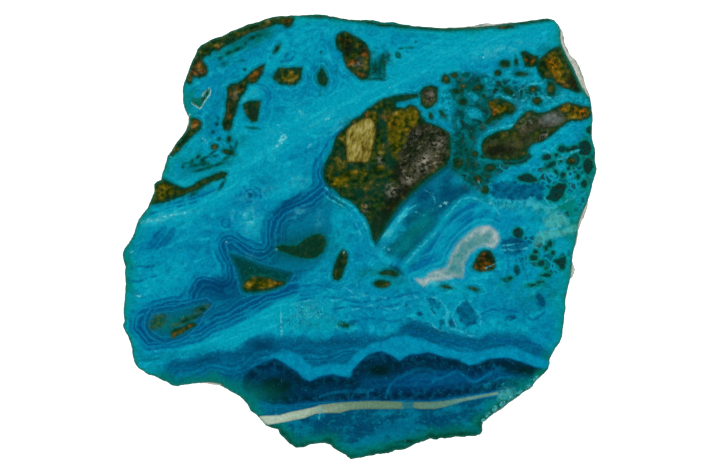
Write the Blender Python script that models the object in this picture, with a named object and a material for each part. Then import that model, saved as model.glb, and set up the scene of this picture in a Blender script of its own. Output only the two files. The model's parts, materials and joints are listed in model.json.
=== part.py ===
"""A polished slab of chrysocolla: one slice of stone, lying face up.

The slab is one solid. Its back lies flat on z = 0 and its polished face is at z = THICKNESS. The outline of
the face is broken and chipped all the way round. Where the slice still carries the weathered skin of the
rough stone, the wall leans out past the face, and elsewhere it breaks back under it. The origin is at the
middle of the bounding box, on the back, with +Z up through the face and +Y towards the long straight-ish top
edge of the slice.
"""

import bmesh
import bpy
from mathutils import Vector, noise

MM = 0.001

# Driving dimensions
THICKNESS = 6.4 * MM  # a quarter inch, as slab saws are commonly set
LONGEST_STEP = 1.7 * MM  # a longer stretch between two outline points gets one more point, roughened
DEEPEST_CHIP = 0.12 * MM  # how far that point may lie inside the straight line between them
CHAMFER = 0.22 * MM  # the worn edge of the polished face
NOISE_SEED_OFFSET = Vector((3.7, 9.1, 5.3))

# The edge of the polished face, clockwise from the rounded lobe at the left: x and y in millimetres, and how
# far the weathered skin stands out past the face there. A point with no third number has no skin.
FACE_EDGE_MM = [
    # left lobe, up to the top-left corner
    (-35.3, 26.6, 0.2), (-35.4, 28.0), (-35.4, 29.4), (-35.2, 30.6, 0.1), (-34.8, 31.6, 0.5),
    (-34.3, 33.0, 0.5), (-33.8, 34.4, 0.3), (-33.3, 35.6), (-32.4, 37.6), (-31.8, 38.3),
    # top edge, rising to its crown and falling to the right
    (-30.2, 39.2), (-28.8, 39.8), (-27.6, 40.1), (-25.8, 41.1), (-24.4, 41.6), (-22.4, 42.5),
    (-20.4, 43.0), (-18.8, 43.6), (-17.2, 44.0), (-15.6, 44.2), (-13.8, 44.3), (-10.2, 44.4),
    (-8.6, 44.5), (-7.0, 44.4), (-5.4, 44.1), (-2.4, 43.5), (-0.8, 43.4), (0.8, 43.4), (2.4, 43.4),
    (3.8, 43.1), (5.2, 42.9), (6.6, 43.0), (8.0, 42.6), (10.0, 42.4), (12.0, 42.1),
    # the skin along the top
    (14.0, 42.0, 0.1), (16.0, 41.8, 0.5), (18.0, 41.8, 0.7), (20.0, 41.8, 0.8), (22.0, 41.8, 1.0),
    (24.0, 41.9, 1.3), (25.6, 42.1, 1.4), (27.0, 42.2, 1.1), (28.6, 42.5, 0.8), (30.4, 42.8, 0.7),
    (32.2, 43.0, 0.5), (34.2, 43.3, 0.5), (36.0, 43.6, 0.3), (37.6, 43.7, 0.2), (38.8, 43.4, 0.3),
    # top-right corner and the wide skin below it
    (39.6, 42.6, 0.7), (40.1, 41.4, 1.1), (40.0, 40.0, 1.5), (40.2, 38.7, 1.6), (40.7, 37.4, 1.7),
    (41.4, 36.0, 1.8), (42.1, 34.7, 2.2), (42.9, 33.2, 2.3), (43.6, 31.6, 2.2), (44.3, 30.0, 1.8),
    (45.2, 28.6, 1.3), (46.1, 27.6, 0.8), (46.3, 26.4, 0.4),
    # right edge
    (46.5, 25.0), (46.6, 23.4), (46.4, 20.2), (46.6, 19.0), (47.0, 17.8), (47.1, 16.6), (47.0, 15.2),
    (47.4, 13.6), (47.1, 12.2), (46.6, 10.8), (46.3, 9.4, 0.1),
    # the second skin, and the loose lump of it lower down
    (45.9, 8.0, 0.4), (45.4, 6.8, 0.9), (44.8, 5.6, 1.4), (44.2, 4.3, 1.5), (43.8, 3.0, 1.1),
    (43.6, 1.6, 0.8), (43.4, 0.2, 0.8), (43.1, -1.2, 0.9), (42.8, -2.6, 0.6), (42.6, -4.0, 0.2),
    (42.4, -5.2, 0.9), (42.2, -6.6, 1.7), (42.1, -8.0, 1.2), (42.0, -9.2, 0.1),
    # lower right, round to the druzy break
    (41.3, -11.8), (41.1, -13.0), (41.2, -14.2), (40.8, -17.2), (40.5, -20.0), (39.9, -21.3),
    (38.5, -23.4), (38.0, -24.4), (38.0, -25.4), (37.7, -26.4), (36.9, -27.3), (36.0, -28.1, 0.1),
    (35.3, -28.8, 0.4), (34.6, -29.7, 0.8), (33.8, -30.5, 0.7), (32.8, -31.0, 0.4), (32.1, -31.6, 0.6),
    (30.9, -32.5, 0.7), (29.6, -33.4, 0.7), (28.3, -34.3, 0.8), (27.0, -35.1, 0.7), (26.0, -36.0, 0.6),
    (25.1, -36.8, 0.4), (24.5, -37.6, 0.2), (24.6, -38.6), (24.3, -39.4), (23.3, -39.8),
    # bottom edge
    (21.6, -40.0), (18.0, -40.2), (16.4, -40.4), (15.1, -40.6), (14.1, -40.3), (13.0, -40.8),
    (11.6, -41.3), (10.2, -41.9), (9.0, -42.5), (7.6, -42.7), (6.2, -43.1), (5.0, -43.6), (3.4, -43.6),
    (1.8, -43.8), (0.4, -44.2), (-1.0, -44.3), (-1.8, -44.5), (-2.5, -44.0), (-3.4, -43.3), (-4.6, -42.7),
    (-5.3, -42.2), (-5.8, -41.6), (-7.0, -41.2), (-8.4, -41.3), (-9.8, -41.5), (-11.2, -42.1),
    (-12.7, -42.2), (-13.8, -41.6), (-16.0, -39.4), (-16.4, -38.5), (-17.5, -38.3), (-18.8, -37.7),
    (-19.8, -36.6), (-20.6, -35.6), (-21.8, -34.8), (-22.4, -33.5), (-23.2, -32.6), (-24.0, -31.9),
    # the bite at the lower left, with its patch of skin
    (-25.0, -31.3), (-26.0, -30.9, 0.2), (-26.9, -30.2, 0.6), (-27.8, -29.4, 1.0), (-29.2, -29.1, 1.2),
    (-30.6, -29.0, 0.9), (-32.0, -29.2, 0.5), (-33.4, -29.4, 0.1), (-35.0, -29.6), (-36.4, -29.9),
    (-37.6, -29.7), (-38.8, -29.0), (-40.0, -28.4), (-41.1, -27.8), (-42.2, -27.6), (-43.3, -26.9),
    (-44.3, -26.2), (-45.0, -25.2), (-45.4, -24.0),
    # left edge
    (-45.5, -22.6), (-45.8, -21.2), (-46.3, -20.0), (-47.0, -18.8), (-47.4, -17.6), (-47.0, -16.9),
    (-47.2, -15.6), (-47.2, -14.2), (-46.9, -11.0), (-46.8, -9.4), (-47.0, -7.0), (-46.8, -6.0),
    (-47.2, -4.8), (-47.4, -3.6), (-47.2, -2.6), (-46.5, -1.6), (-45.8, -0.6), (-45.1, 0.7),
    (-44.7, 2.2), (-44.2, 3.5), (-43.3, 4.7), (-42.5, 5.7), (-42.0, 6.8), (-41.1, 9.2), (-41.1, 10.5),
    (-40.5, 11.1), (-39.7, 11.4), (-39.5, 12.8), (-39.0, 14.1), (-38.6, 15.4), (-38.4, 16.2),
    (-37.6, 17.2), (-37.0, 18.3), (-36.2, 19.4),
    # the notch under the left lobe
    (-35.4, 20.4, 0.3), (-34.7, 21.2, 0.7), (-34.1, 22.2, 1.0), (-34.0, 23.2, 0.9), (-34.2, 24.1, 0.6),
    (-34.8, 25.1, 0.4),
]

# The wall from the face down to the back. Each ring is how deep it lies as a share of the thickness, what
# share of the skin's width it stands out, how far a wall without skin breaks back, and how rough it is.
WALL_RINGS = [
    (0.13, 0.45, 0.15 * MM, 0.18 * MM),
    (0.28, 0.85, 0.30 * MM, 0.42 * MM),
    (0.43, 1.00, 0.40 * MM, 0.62 * MM),
    (0.58, 0.95, 0.45 * MM, 0.66 * MM),
    (0.73, 0.85, 0.50 * MM, 0.58 * MM),
    (0.87, 0.65, 0.50 * MM, 0.46 * MM),
    (1.00, 0.45, 0.70 * MM, 0.30 * MM),
]
LUMP_SIZE = 2.3 * MM  # the spacing of the lumps and hollows of the broken wall
CHIP_SIZE = 0.8 * MM  # the spacing of the finer chips on them

# The open crack near the top-left corner, where the stone's layers didn't meet: its mouth, x and y in
# millimetres, with the upper lip first and the lower lip back from the tip.
CAVITY_MOUTH_MM = [
    (-33.5, 27.7), (-32.6, 27.7), (-31.8, 28.0), (-31.3, 28.7), (-31.0, 29.2), (-30.3, 29.7),
    (-30.0, 29.2), (-30.1, 28.6), (-30.7, 27.8), (-31.2, 27.0), (-31.6, 26.2), (-32.0, 25.8),
    (-32.7, 26.2), (-33.5, 26.7),
]
CAVITY_DEPTH = 1.1 * MM
CAVITY_FLOOR_SHARE = 0.72  # how much of the mouth's width is left at the cavity's floor
CUTTER_RISE = 0.5 * MM  # the cutter starts this far above the face

STONE_COLOUR = (0.004, 0.235, 0.345, 1.0)
SKIN_COLOUR = (0.42, 0.44, 0.36, 1.0)


def clear_scene():
    """Removes the objects that the scene starts with."""
    for item in list(bpy.data.objects):
        bpy.data.objects.remove(item)


def make_material(name, colour, roughness):
    """A plain stone finish of one colour."""
    material = bpy.data.materials.new(name)
    material.use_nodes = True
    shader = material.node_tree.nodes["Principled BSDF"]
    shader.inputs["Base Color"].default_value = colour
    shader.inputs["Roughness"].default_value = roughness
    shader.inputs["Metallic"].default_value = 0.0
    material.diffuse_color = colour
    return material


def roughness_at(place, size):
    """A smooth pseudo-random number from about -1 to 1 that changes over the given size."""
    return noise.noise(place / size + NOISE_SEED_OFFSET)


def face_edge():
    """The outline's stations in metres: where each lies on the face's edge, and the skin's width there."""
    given = []
    for entry in FACE_EDGE_MM:
        skin = entry[2] if len(entry) == 3 else 0.0
        given.append((Vector((entry[0] * MM, entry[1] * MM, THICKNESS)), skin * MM))
    stations = []
    for number, (place, skin) in enumerate(given):
        next_place, next_skin = given[(number + 1) % len(given)]
        stations.append((place, skin))
        if (next_place - place).length > LONGEST_STEP:
            middle = (place + next_place) / 2
            inward = (next_place - place).cross(Vector((0, 0, 1))).normalized()
            chip = DEEPEST_CHIP * (0.5 + 0.5 * roughness_at(middle, CHIP_SIZE))
            stations.append((middle + inward * chip, (skin + next_skin) / 2))
    return stations


def outward_directions(places):
    """The direction out of the slab at each station, smoothed over its neighbours."""
    count = len(places)
    sides = []
    for number in range(count):
        along = places[(number + 2) % count] - places[number - 2]
        sides.append(Vector((-along.y, along.x, 0)).normalized())
    smooth = []
    for number in range(count):
        total = sides[number - 1] + sides[number] * 2 + sides[(number + 1) % count]
        smooth.append(total.normalized())
    return smooth


def wall_place(station, outward, ring):
    """Where one vertex of the wall lies: out with the skin, or back under the face where there is none."""
    place, skin = station
    depth, skin_share, break_back, rough = ring
    level = Vector((place.x, place.y, THICKNESS * (1 - depth)))
    lump = roughness_at(level, LUMP_SIZE)
    chip = roughness_at(level, CHIP_SIZE)
    has_skin = min(1.0, skin / (0.3 * MM))
    bare = -break_back - rough * (0.5 + 0.5 * lump) - 0.35 * rough * (0.5 + 0.5 * chip)
    # The skin never stands out past the width that the face's edge states for it.
    skinned = skin * skin_share * (1 - 0.18 * (0.5 + 0.5 * lump) - 0.10 * (0.5 + 0.5 * chip))
    return level + outward * (skinned * has_skin + bare * (1 - has_skin))


def extrude_ring(shape, boundary, move):
    """Extrudes the loop of edges once and puts each new vertex where move says. Returns the new loop."""
    made = bmesh.ops.extrude_edge_only(shape, edges=boundary)["geom"]
    station = shape.verts.layers.int["station"]
    for vertex in made:
        if isinstance(vertex, bmesh.types.BMVert):
            vertex.co = move(vertex[station])
    new_verts = {item for item in made if isinstance(item, bmesh.types.BMVert)}
    return [
        item for item in made
        if isinstance(item, bmesh.types.BMEdge) and set(item.verts) <= new_verts
    ]


def make_slab(collection):
    """The stone: its polished face filled inside the outline, the wall drawn down from it, and the back."""
    stations = face_edge()
    places = [place for place, _ in stations]
    outward = outward_directions(places)

    shape = bmesh.new()
    station = shape.verts.layers.int.new("station")
    rim = []
    for number, place in enumerate(places):
        # The face's own edge is drawn in by the chamfer, so that the outline stays the widest line.
        vertex = shape.verts.new(place - outward[number] * CHAMFER)
        vertex[station] = number
        rim.append(vertex)
    shape.faces.new(reversed(rim))
    loop = list(shape.edges)

    def chamfer_place(number):
        return places[number] - Vector((0, 0, CHAMFER))

    loop = extrude_ring(shape, loop, chamfer_place)
    for ring in WALL_RINGS:
        def ring_place(number, ring=ring):
            return wall_place(stations[number], outward[number], ring)

        loop = extrude_ring(shape, loop, ring_place)
    bmesh.ops.edgeloop_fill(shape, edges=loop)
    bmesh.ops.recalc_face_normals(shape, faces=shape.faces)
    bmesh.ops.triangulate(shape, faces=[face for face in shape.faces if len(face.verts) > 4])

    mesh = bpy.data.meshes.new("slab")
    mesh.materials.append(make_material("polished chrysocolla", STONE_COLOUR, 0.15))
    mesh.materials.append(make_material("weathered skin", SKIN_COLOUR, 0.85))
    for face in shape.faces:
        skin = sum(stations[vertex[station]][1] for vertex in face.verts) / len(face.verts)
        is_wall = abs(face.normal.z) < 0.95
        face.material_index = 1 if is_wall and skin > 0.4 * MM else 0
    shape.to_mesh(mesh)
    shape.free()
    slab = bpy.data.objects.new("slab", mesh)
    collection.objects.link(slab)
    mesh.shade_smooth()
    mesh.set_sharp_from_angle(angle=0.5)
    return slab


def cut_cavity(slab, cutters):
    """The open crack in the polished face, cut by a wedge of its outline that narrows downwards."""
    shape = bmesh.new()
    top = THICKNESS + CUTTER_RISE
    mouth = [shape.verts.new((x * MM, y * MM, top)) for x, y in CAVITY_MOUTH_MM]
    floor = bmesh.ops.extrude_face_region(shape, geom=[shape.faces.new(mouth)])["geom"]
    sunk = [item for item in floor if isinstance(item, bmesh.types.BMVert)]
    middle = sum((vertex.co for vertex in sunk), Vector()) / len(sunk)
    for vertex in sunk:
        vertex.co = middle + (vertex.co - middle) * CAVITY_FLOOR_SHARE
        vertex.co.z = THICKNESS - CAVITY_DEPTH
    bmesh.ops.recalc_face_normals(shape, faces=shape.faces)
    mesh = bpy.data.meshes.new("cavity cutter")
    shape.to_mesh(mesh)
    shape.free()
    cutter = bpy.data.objects.new("cavity cutter", mesh)
    cutters.objects.link(cutter)
    cutter.hide_render = True
    cutter.display_type = "WIRE"
    cut = slab.modifiers.new("cavity", "BOOLEAN")
    cut.operation = "DIFFERENCE"
    cut.object = cutter


def main():
    clear_scene()
    collection = bpy.data.collections.new("chrysocolla specimen")
    bpy.context.scene.collection.children.link(collection)
    cutters = bpy.data.collections.new("cutters")
    bpy.context.scene.collection.children.link(cutters)
    slab = make_slab(collection)
    cut_cavity(slab, cutters)
    low = [min(vertex.co[axis] for vertex in slab.data.vertices) / MM for axis in range(3)]
    high = [max(vertex.co[axis] for vertex in slab.data.vertices) / MM for axis in range(3)]
    print("slab from", [round(value, 2) for value in low], "to", [round(value, 2) for value in high], "mm")


main()
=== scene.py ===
# %% [markdown]
# # A polished slab of chrysocolla
#
# The real thing is one slice of stone, sawn from a lump and polished on one side. Blue-green chrysocolla
# filled the gaps between broken pieces of brown rock, and later layers of it lined what was left open, so
# the face shows angular clasts, bands that run round them, and deep blue scallops along the bottom. The
# rim is broken and wears patches of pale weathered skin.
#
# In this lesson one closed mesh is modelled, and nearly all of its picture comes from distances. Each
# marking is an outline that was read off the photograph. Every vertex learns how far it lies from
# each outline, and the material turns those distances into colour. A distance changes evenly from vertex
# to vertex, so an edge drawn from it stays sharp between vertices, and noise can crinkle it.

# %% The frame and its box
import json
import math

import bmesh
import bpy
import numpy as np
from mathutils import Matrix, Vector, noise

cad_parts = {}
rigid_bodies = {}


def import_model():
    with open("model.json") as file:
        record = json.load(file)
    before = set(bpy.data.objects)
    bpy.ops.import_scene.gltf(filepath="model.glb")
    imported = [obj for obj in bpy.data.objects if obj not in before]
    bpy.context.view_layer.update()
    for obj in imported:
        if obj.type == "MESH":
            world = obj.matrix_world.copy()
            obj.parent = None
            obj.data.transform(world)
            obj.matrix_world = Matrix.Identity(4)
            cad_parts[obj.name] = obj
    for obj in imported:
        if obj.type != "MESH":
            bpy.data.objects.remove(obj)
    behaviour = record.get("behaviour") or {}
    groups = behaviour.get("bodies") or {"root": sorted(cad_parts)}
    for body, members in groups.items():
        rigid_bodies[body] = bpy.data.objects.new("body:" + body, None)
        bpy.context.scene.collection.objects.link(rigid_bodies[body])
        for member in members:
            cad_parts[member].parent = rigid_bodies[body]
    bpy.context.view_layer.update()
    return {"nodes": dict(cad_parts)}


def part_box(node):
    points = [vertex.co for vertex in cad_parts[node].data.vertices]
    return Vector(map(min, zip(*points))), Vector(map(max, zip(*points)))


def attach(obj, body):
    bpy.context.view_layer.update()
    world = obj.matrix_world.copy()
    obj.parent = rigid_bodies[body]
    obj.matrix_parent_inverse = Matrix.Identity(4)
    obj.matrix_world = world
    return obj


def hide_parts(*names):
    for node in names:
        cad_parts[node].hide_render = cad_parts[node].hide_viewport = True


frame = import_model()
slab_low, slab_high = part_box("slab")
print("the solid measures", [round(v * 1000, 2) for v in slab_high - slab_low], "mm")

# %% [markdown]
# ## From the photograph to millimetres
#
# The photograph looks straight down on the slab, so a pixel is the same length everywhere on the face.
# The stone's leftmost and rightmost pixels stand for the solid's own width, and that gives the scale.
# Outlines are written as x,y pairs of pixels, and used in millimetres, because distances of a few tenths
# are easier to picture than long decimals.

# %% Pixels, millimetres and metres
MM = 0.001
PHOTO_WIDTH, PHOTO_HEIGHT = 708, 472
STONE_LEFT_PX, STONE_RIGHT_PX = 122.4, 597.0
STONE_TOP_PX, STONE_BOTTOM_PX = 14.2, 459.5
PIXEL_MM = (slab_high.x - slab_low.x) / MM / (STONE_RIGHT_PX - STONE_LEFT_PX)
FACE_HEIGHT = slab_high.z


def place_mm(px, py):
    """Where a pixel of the photograph lies on the slab, in millimetres from its middle."""
    middle_x = (slab_low.x + slab_high.x) / 2 / MM
    middle_y = (slab_low.y + slab_high.y) / 2 / MM
    x = middle_x + (px - (STONE_LEFT_PX + STONE_RIGHT_PX) / 2) * PIXEL_MM
    y = middle_y - (py - (STONE_TOP_PX + STONE_BOTTOM_PX) / 2) * PIXEL_MM
    return x, y


def trace(text):
    """An outline read off the photograph: x,y pairs of pixels, as an array of places in millimetres."""
    pairs = [pair.split(",") for pair in text.split()]
    return np.array([place_mm(float(x), float(y)) for x, y in pairs])


print("one pixel is", round(PIXEL_MM, 4), "mm")

# %% [markdown]
# ## Measuring distances
#
# Everything below stands on two measurements: how far a point is from the nearest piece of a line, and on
# which side of it. For a closed outline the side is found by counting how often a ray crosses it.

# %% Distance to a line and to an outline
REACH_MM = 6.0  # beyond this a distance is of no use, so it isn't measured


def left_of(directions):
    """Directions of length one, a quarter turn to the left of the given ones."""
    lengths = np.hypot(directions[:, 0], directions[:, 1])
    return np.stack([-directions[:, 1], directions[:, 0]], axis=1) / lengths[:, None]


def counter_clockwise(loop, places):
    """The loop of places, or of their numbers, turned round if it runs clockwise."""
    onward = np.roll(places, -1, axis=0)
    area = np.sum(places[:, 0] * onward[:, 1] - places[:, 1] * onward[:, 0])
    return loop if area > 0 else loop[::-1]


def nearest_on_line(points, line, closed):
    """For each point: the distance to the line, and which piece of it is nearest, and how far along that."""
    starts = line if closed else line[:-1]
    ends = np.roll(line, -1, axis=0) if closed else line[1:]
    best = np.full(len(points), 1e9)
    piece = np.zeros(len(points), int)
    share = np.zeros(len(points))
    for number, (start, end) in enumerate(zip(starts, ends)):
        along = end - start
        t = np.clip((points - start) @ along / max(along @ along, 1e-12), 0, 1)
        gap = points - start - t[:, None] * along
        distance = np.hypot(gap[:, 0], gap[:, 1])
        closer = distance < best
        best[closer], piece[closer], share[closer] = distance[closer], number, t[closer]
    return best, piece, share


def is_inside(points, outline):
    """Whether each point lies inside a closed outline."""
    inside = np.zeros(len(points), bool)
    for (x0, y0), (x1, y1) in zip(outline, np.roll(outline, -1, axis=0)):
        crosses = (y0 > points[:, 1]) != (y1 > points[:, 1])
        if y0 != y1:
            inside ^= crosses & (points[:, 0] < (x1 - x0) * (points[:, 1] - y0) / (y1 - y0) + x0)
    return inside


def near(points, outline):
    """The points that lie close enough to an outline to be worth measuring."""
    low, high = outline.min(axis=0) - REACH_MM, outline.max(axis=0) + REACH_MM
    return np.all((points > low) & (points < high), axis=1)


def outline_distance(points, outline):
    """Millimetres from each point to a closed outline, below zero inside it."""
    result = np.full(len(points), REACH_MM)
    close = near(points, outline)
    if close.any():
        distance, _, _ = nearest_on_line(points[close], outline, closed=True)
        inside = is_inside(points[close], outline)
        result[close] = np.where(inside, -distance, distance)
    return np.minimum(result, REACH_MM)


def line_distance(points, line):
    """Millimetres from each point to an open line."""
    result = np.full(len(points), REACH_MM)
    close = near(points, line)
    if close.any():
        result[close], _, _ = nearest_on_line(points[close], line, closed=False)
    return np.minimum(result, REACH_MM)


# %% [markdown]
# ## The solid's own rings
#
# The look has to keep the shape of the solid that the physics uses. That solid was lofted from rings: the
# edge of the face, then one ring after another down the broken wall to the back. Walking its edges at
# each height gives those rings back, and the finer mesh is then laid through them.

# %% Read the rings back from the solid
SAME_HEIGHT = 1e-5
SMALLEST_RING = 100  # the open crack's own corners are fewer than this


def ring_at(shape, height):
    """The longest closed loop of edges at one height that bounds something, in order, in millimetres."""
    def level(vertex):
        return abs(vertex.co.z - height) < SAME_HEIGHT

    next_to = {}
    for edge in shape.edges:
        if not all(level(v) for v in edge.verts):
            continue
        if all(all(level(v) for v in face.verts) for face in edge.link_faces):
            continue
        first, second = edge.verts
        next_to.setdefault(first, []).append(second)
        next_to.setdefault(second, []).append(first)
    longest = []
    while next_to:
        start = next(iter(next_to))
        loop, here = [start], next_to.pop(start)[0]
        while here in next_to:
            loop.append(here)
            onward = [v for v in next_to.pop(here) if v in next_to]
            here = onward[0] if onward else None
        longest = max(longest, loop, key=len)
    ring = np.array([(v.co.x, v.co.y) for v in longest]) / MM
    return counter_clockwise(ring, ring)


solid = bmesh.new()
solid.from_mesh(frame["nodes"]["slab"].data)
bmesh.ops.remove_doubles(solid, verts=solid.verts, dist=1e-6)
heights, how_many = np.unique(np.round([v.co.z for v in solid.verts], 6), return_counts=True)
# The topmost height is the flat of the face. The next is the outline, the line under its worn edge.
ring_heights = heights[how_many > SMALLEST_RING][::-1][1:]
rings = [ring_at(solid, height) for height in ring_heights]
for number in range(1, len(rings)):
    above = rings[number - 1]
    shifts = [np.sum((np.roll(rings[number], -shift, axis=0) - above) ** 2) for shift in range(len(above))]
    rings[number] = np.roll(rings[number], -int(np.argmin(shifts)), axis=0)
solid.free()
face_outline = rings[0]
print(len(rings), "rings of", [len(ring) for ring in rings], "points")


def ring_point(number, station):
    """A place on one ring, at whole or part stations round it."""
    ring = rings[number]
    low = np.floor(station).astype(int)
    part = (station - low)[:, None]
    return ring[low % len(ring)] * (1 - part) + ring[(low + 1) % len(ring)] * part


# %% [markdown]
# ## The polished face
#
# A polished face is flat, so a single polygon would give its shape. It is a fine grid here because each
# vertex carries the distances that the colours are drawn from. The grid is trimmed to the outline by
# whole cells, which leaves steps, and then its border is drawn out onto the outline and the cells beside
# it are relaxed. Last, small chips are bitten out of the border, most of them at the lower right.

# %% A grid, trimmed to the outline
FACE_STEP_MM = 0.3
BACK_STEP_MM = 1.2
KEEP_INSIDE = 0.4  # a cell stays if all its corners are this share of a step inside the outline
BORDER_STEPS = 1.5  # cells nearer to the outline than this many steps may go, if they hang on by a corner
CHIP_SIZE_MM = 1.3
CHIP_DEPTH_MM = 0.5
CHIP_EVERYWHERE = 0.22  # the share of that depth away from the worst places
CHIPPED_PLACES = [(505, 405, 34, 1.0), (450, 436, 40, 0.7), (592, 235, 34, 0.8), (370, 455, 40, 0.6)]
UNCHIPPED_UNDER = 0.05  # noise under this leaves the border whole
NIBBLES_FINER = 2.7  # how much smaller the nibbles between the chips are
BITE_WEIGHT, NIBBLE_WEIGHT = 1.7, 0.9


def select_only(thing):
    """Deselects everything else and makes one object active."""
    bpy.ops.object.select_all(action="DESELECT")
    thing.select_set(True)
    bpy.context.view_layer.objects.active = thing


def vertex_places(thing):
    """All vertices of a mesh object, as an array in metres."""
    flat = np.empty(len(thing.data.vertices) * 3)
    thing.data.vertices.foreach_get("co", flat)
    return flat.reshape(-1, 3)


def move_vertices(thing, places):
    """Puts all vertices of a mesh object at these places in metres."""
    thing.data.vertices.foreach_set("co", places.ravel())


def trimmed_grid(name, outline, height, step):
    """A grid at one height whose cells cover the inside of an outline."""
    low, high = outline.min(axis=0) - step, outline.max(axis=0) + step
    columns, rows = (int(math.ceil(v)) for v in (high - low) / step)
    middle = (low + high) / 2 * MM
    bpy.ops.object.select_all(action="DESELECT")
    bpy.ops.mesh.primitive_grid_add(
        x_subdivisions=columns, y_subdivisions=rows, size=1.0, location=(middle[0], middle[1], height),
    )
    grid = bpy.context.object
    grid.name = name
    grid.scale = (columns * step * MM, rows * step * MM, 1.0)
    bpy.ops.object.transform_apply(location=True, rotation=True, scale=True)
    corners = vertex_places(grid)[:, :2] / MM
    distance, _, _ = nearest_on_line(corners, outline, closed=True)
    depth = np.where(is_inside(corners, outline), distance, -distance)
    cells = np.array([list(face.vertices) for face in grid.data.polygons])
    keep = (depth[cells] > KEEP_INSIDE * step).all(axis=1)
    for _ in range(4):
        # Cells that hang on by one corner alone would leave a pinched border, so they go too.
        used = np.zeros(len(corners), int)
        np.add.at(used, cells[keep].ravel(), 1)
        edges = np.sort(np.concatenate([cells[keep][:, [a, (a + 1) % 4]] for a in range(4)]), axis=1)
        pairs, times = np.unique(edges, axis=0, return_counts=True)
        rim = np.zeros(len(corners), int)
        np.add.at(rim, pairs[times == 1].ravel(), 1)
        pinched = rim > 2
        if not pinched.any():
            break
        keep &= ~(pinched[cells].any(axis=1) & (depth[cells].mean(axis=1) < BORDER_STEPS * step))
    select_only(grid)
    bpy.ops.object.mode_set(mode="EDIT")
    bpy.ops.mesh.select_mode(type="FACE")
    bpy.ops.object.mode_set(mode="OBJECT")
    grid.data.polygons.foreach_set("select", ~keep)
    bpy.ops.object.mode_set(mode="EDIT")
    bpy.ops.mesh.delete(type="FACE")
    bpy.ops.mesh.select_mode(type="VERT")
    bpy.ops.object.mode_set(mode="OBJECT")
    return grid


def border_loop(thing):
    """The vertex numbers of an open mesh's border, in order and counter-clockwise seen from above."""
    edges, times = np.unique(
        np.sort([list(key) for face in thing.data.polygons for key in face.edge_keys], axis=1),
        axis=0, return_counts=True,
    )
    next_to = {}
    for first, second in edges[times == 1].tolist():
        next_to.setdefault(first, []).append(second)
        next_to.setdefault(second, []).append(first)
    assert all(len(found) == 2 for found in next_to.values()), "the border is pinched"
    start = min(next_to)
    loop, before, here = [start], start, next_to[start][0]
    while here != start:
        loop.append(here)
        first, second = next_to[here]
        before, here = here, second if first == before else first
    assert len(loop) == len(next_to), "the border is in more than one piece"
    return np.array(counter_clockwise(loop, vertex_places(thing)[loop, :2]))


def spread(values, window=7, rounds=3):
    """A moving average round a closed loop."""
    for _ in range(rounds):
        values = sum(np.roll(values, shift) for shift in range(-(window // 2), window // 2 + 1)) / window
    return values


def select_open_edges():
    """In edit mode: selects the edges with one face only, and nothing else."""
    bpy.ops.mesh.select_mode(type="EDGE")
    bpy.ops.mesh.select_all(action="DESELECT")
    bpy.ops.mesh.select_non_manifold(
        extend=False, use_wire=False, use_boundary=True, use_multi_face=False,
        use_non_contiguous=False, use_verts=False,
    )


def draw_border_onto(thing, outline):
    """Moves a trimmed grid's border onto the outline. Returns the border and its stations on the outline."""
    loop = border_loop(thing)
    places = vertex_places(thing)
    _, piece, share = nearest_on_line(places[loop, :2] / MM, outline, closed=True)
    station = piece + share
    count = len(outline)
    steps = (np.roll(station, -1) - station + count / 2) % count - count / 2
    travelled = station[0] + np.concatenate([[0], np.cumsum(steps)[:-1]])
    even = travelled[0] + np.arange(len(loop)) * count / len(loop)
    station = even + spread(travelled - even)
    low = np.floor(station).astype(int)
    part = (station - low)[:, None]
    places[loop, :2] = (outline[low % count] * (1 - part) + outline[(low + 1) % count] * part) * MM
    move_vertices(thing, places)
    return loop, station


def chip_border(thing, loop, size, depth):
    """Bites small chips out of the border, at most this deep, and shallow away from the worst places."""
    places = vertex_places(thing)
    edge = places[loop, :2] / MM
    share = np.full(len(edge), CHIP_EVERYWHERE)
    for px, py, reach, most in CHIPPED_PLACES:
        away = np.hypot(*(edge - np.array(place_mm(px, py))).T) / (reach * PIXEL_MM)
        share = np.maximum(share, most * np.exp(-away ** 2))
    inward = left_of(np.roll(edge, -1, axis=0) - np.roll(edge, 1, axis=0))
    bites, nibbles = [], []
    for x, y in edge:
        u, v = x / size, y / size
        bites.append(max(0.0, noise.noise(Vector((u, v, 7.0))) - UNCHIPPED_UNDER))
        nibbles.append(max(0.0, noise.noise(Vector((u * NIBBLES_FINER, v * NIBBLES_FINER, 3.0)))))
    bite = np.minimum(1.0, BITE_WEIGHT * np.array(bites) + NIBBLE_WEIGHT * np.array(nibbles))
    places[loop, :2] += inward * (bite * depth * share)[:, None] * MM
    move_vertices(thing, places)


def relax_beside(thing, loop, rows, rounds=12):
    """Evens out the cells in the rows next to the border, and leaves the border where it is."""
    edges = np.array([list(edge.vertices) for edge in thing.data.edges])
    places = vertex_places(thing)
    moving = np.zeros(len(places), bool)
    moving[loop] = True
    for _ in range(rows):
        touched = moving[edges].any(axis=1)
        moving[edges[touched].ravel()] = True
    moving[loop] = False
    for _ in range(rounds):
        total, count = np.zeros_like(places), np.zeros(len(places))
        for a, b in ((0, 1), (1, 0)):
            np.add.at(total, edges[:, a], places[edges[:, b]])
            np.add.at(count, edges[:, a], 1)
        places[moving] = total[moving] / count[moving, None]
    move_vertices(thing, places)


slab = trimmed_grid("polished_slab", face_outline, FACE_HEIGHT, FACE_STEP_MM)
border, border_station = draw_border_onto(slab, face_outline)
chip_border(slab, border, CHIP_SIZE_MM, CHIP_DEPTH_MM)
relax_beside(slab, border, rows=5)
face_count = len(slab.data.polygons)
print("the face has", face_count, "cells and a border of", len(border), "vertices")

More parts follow.
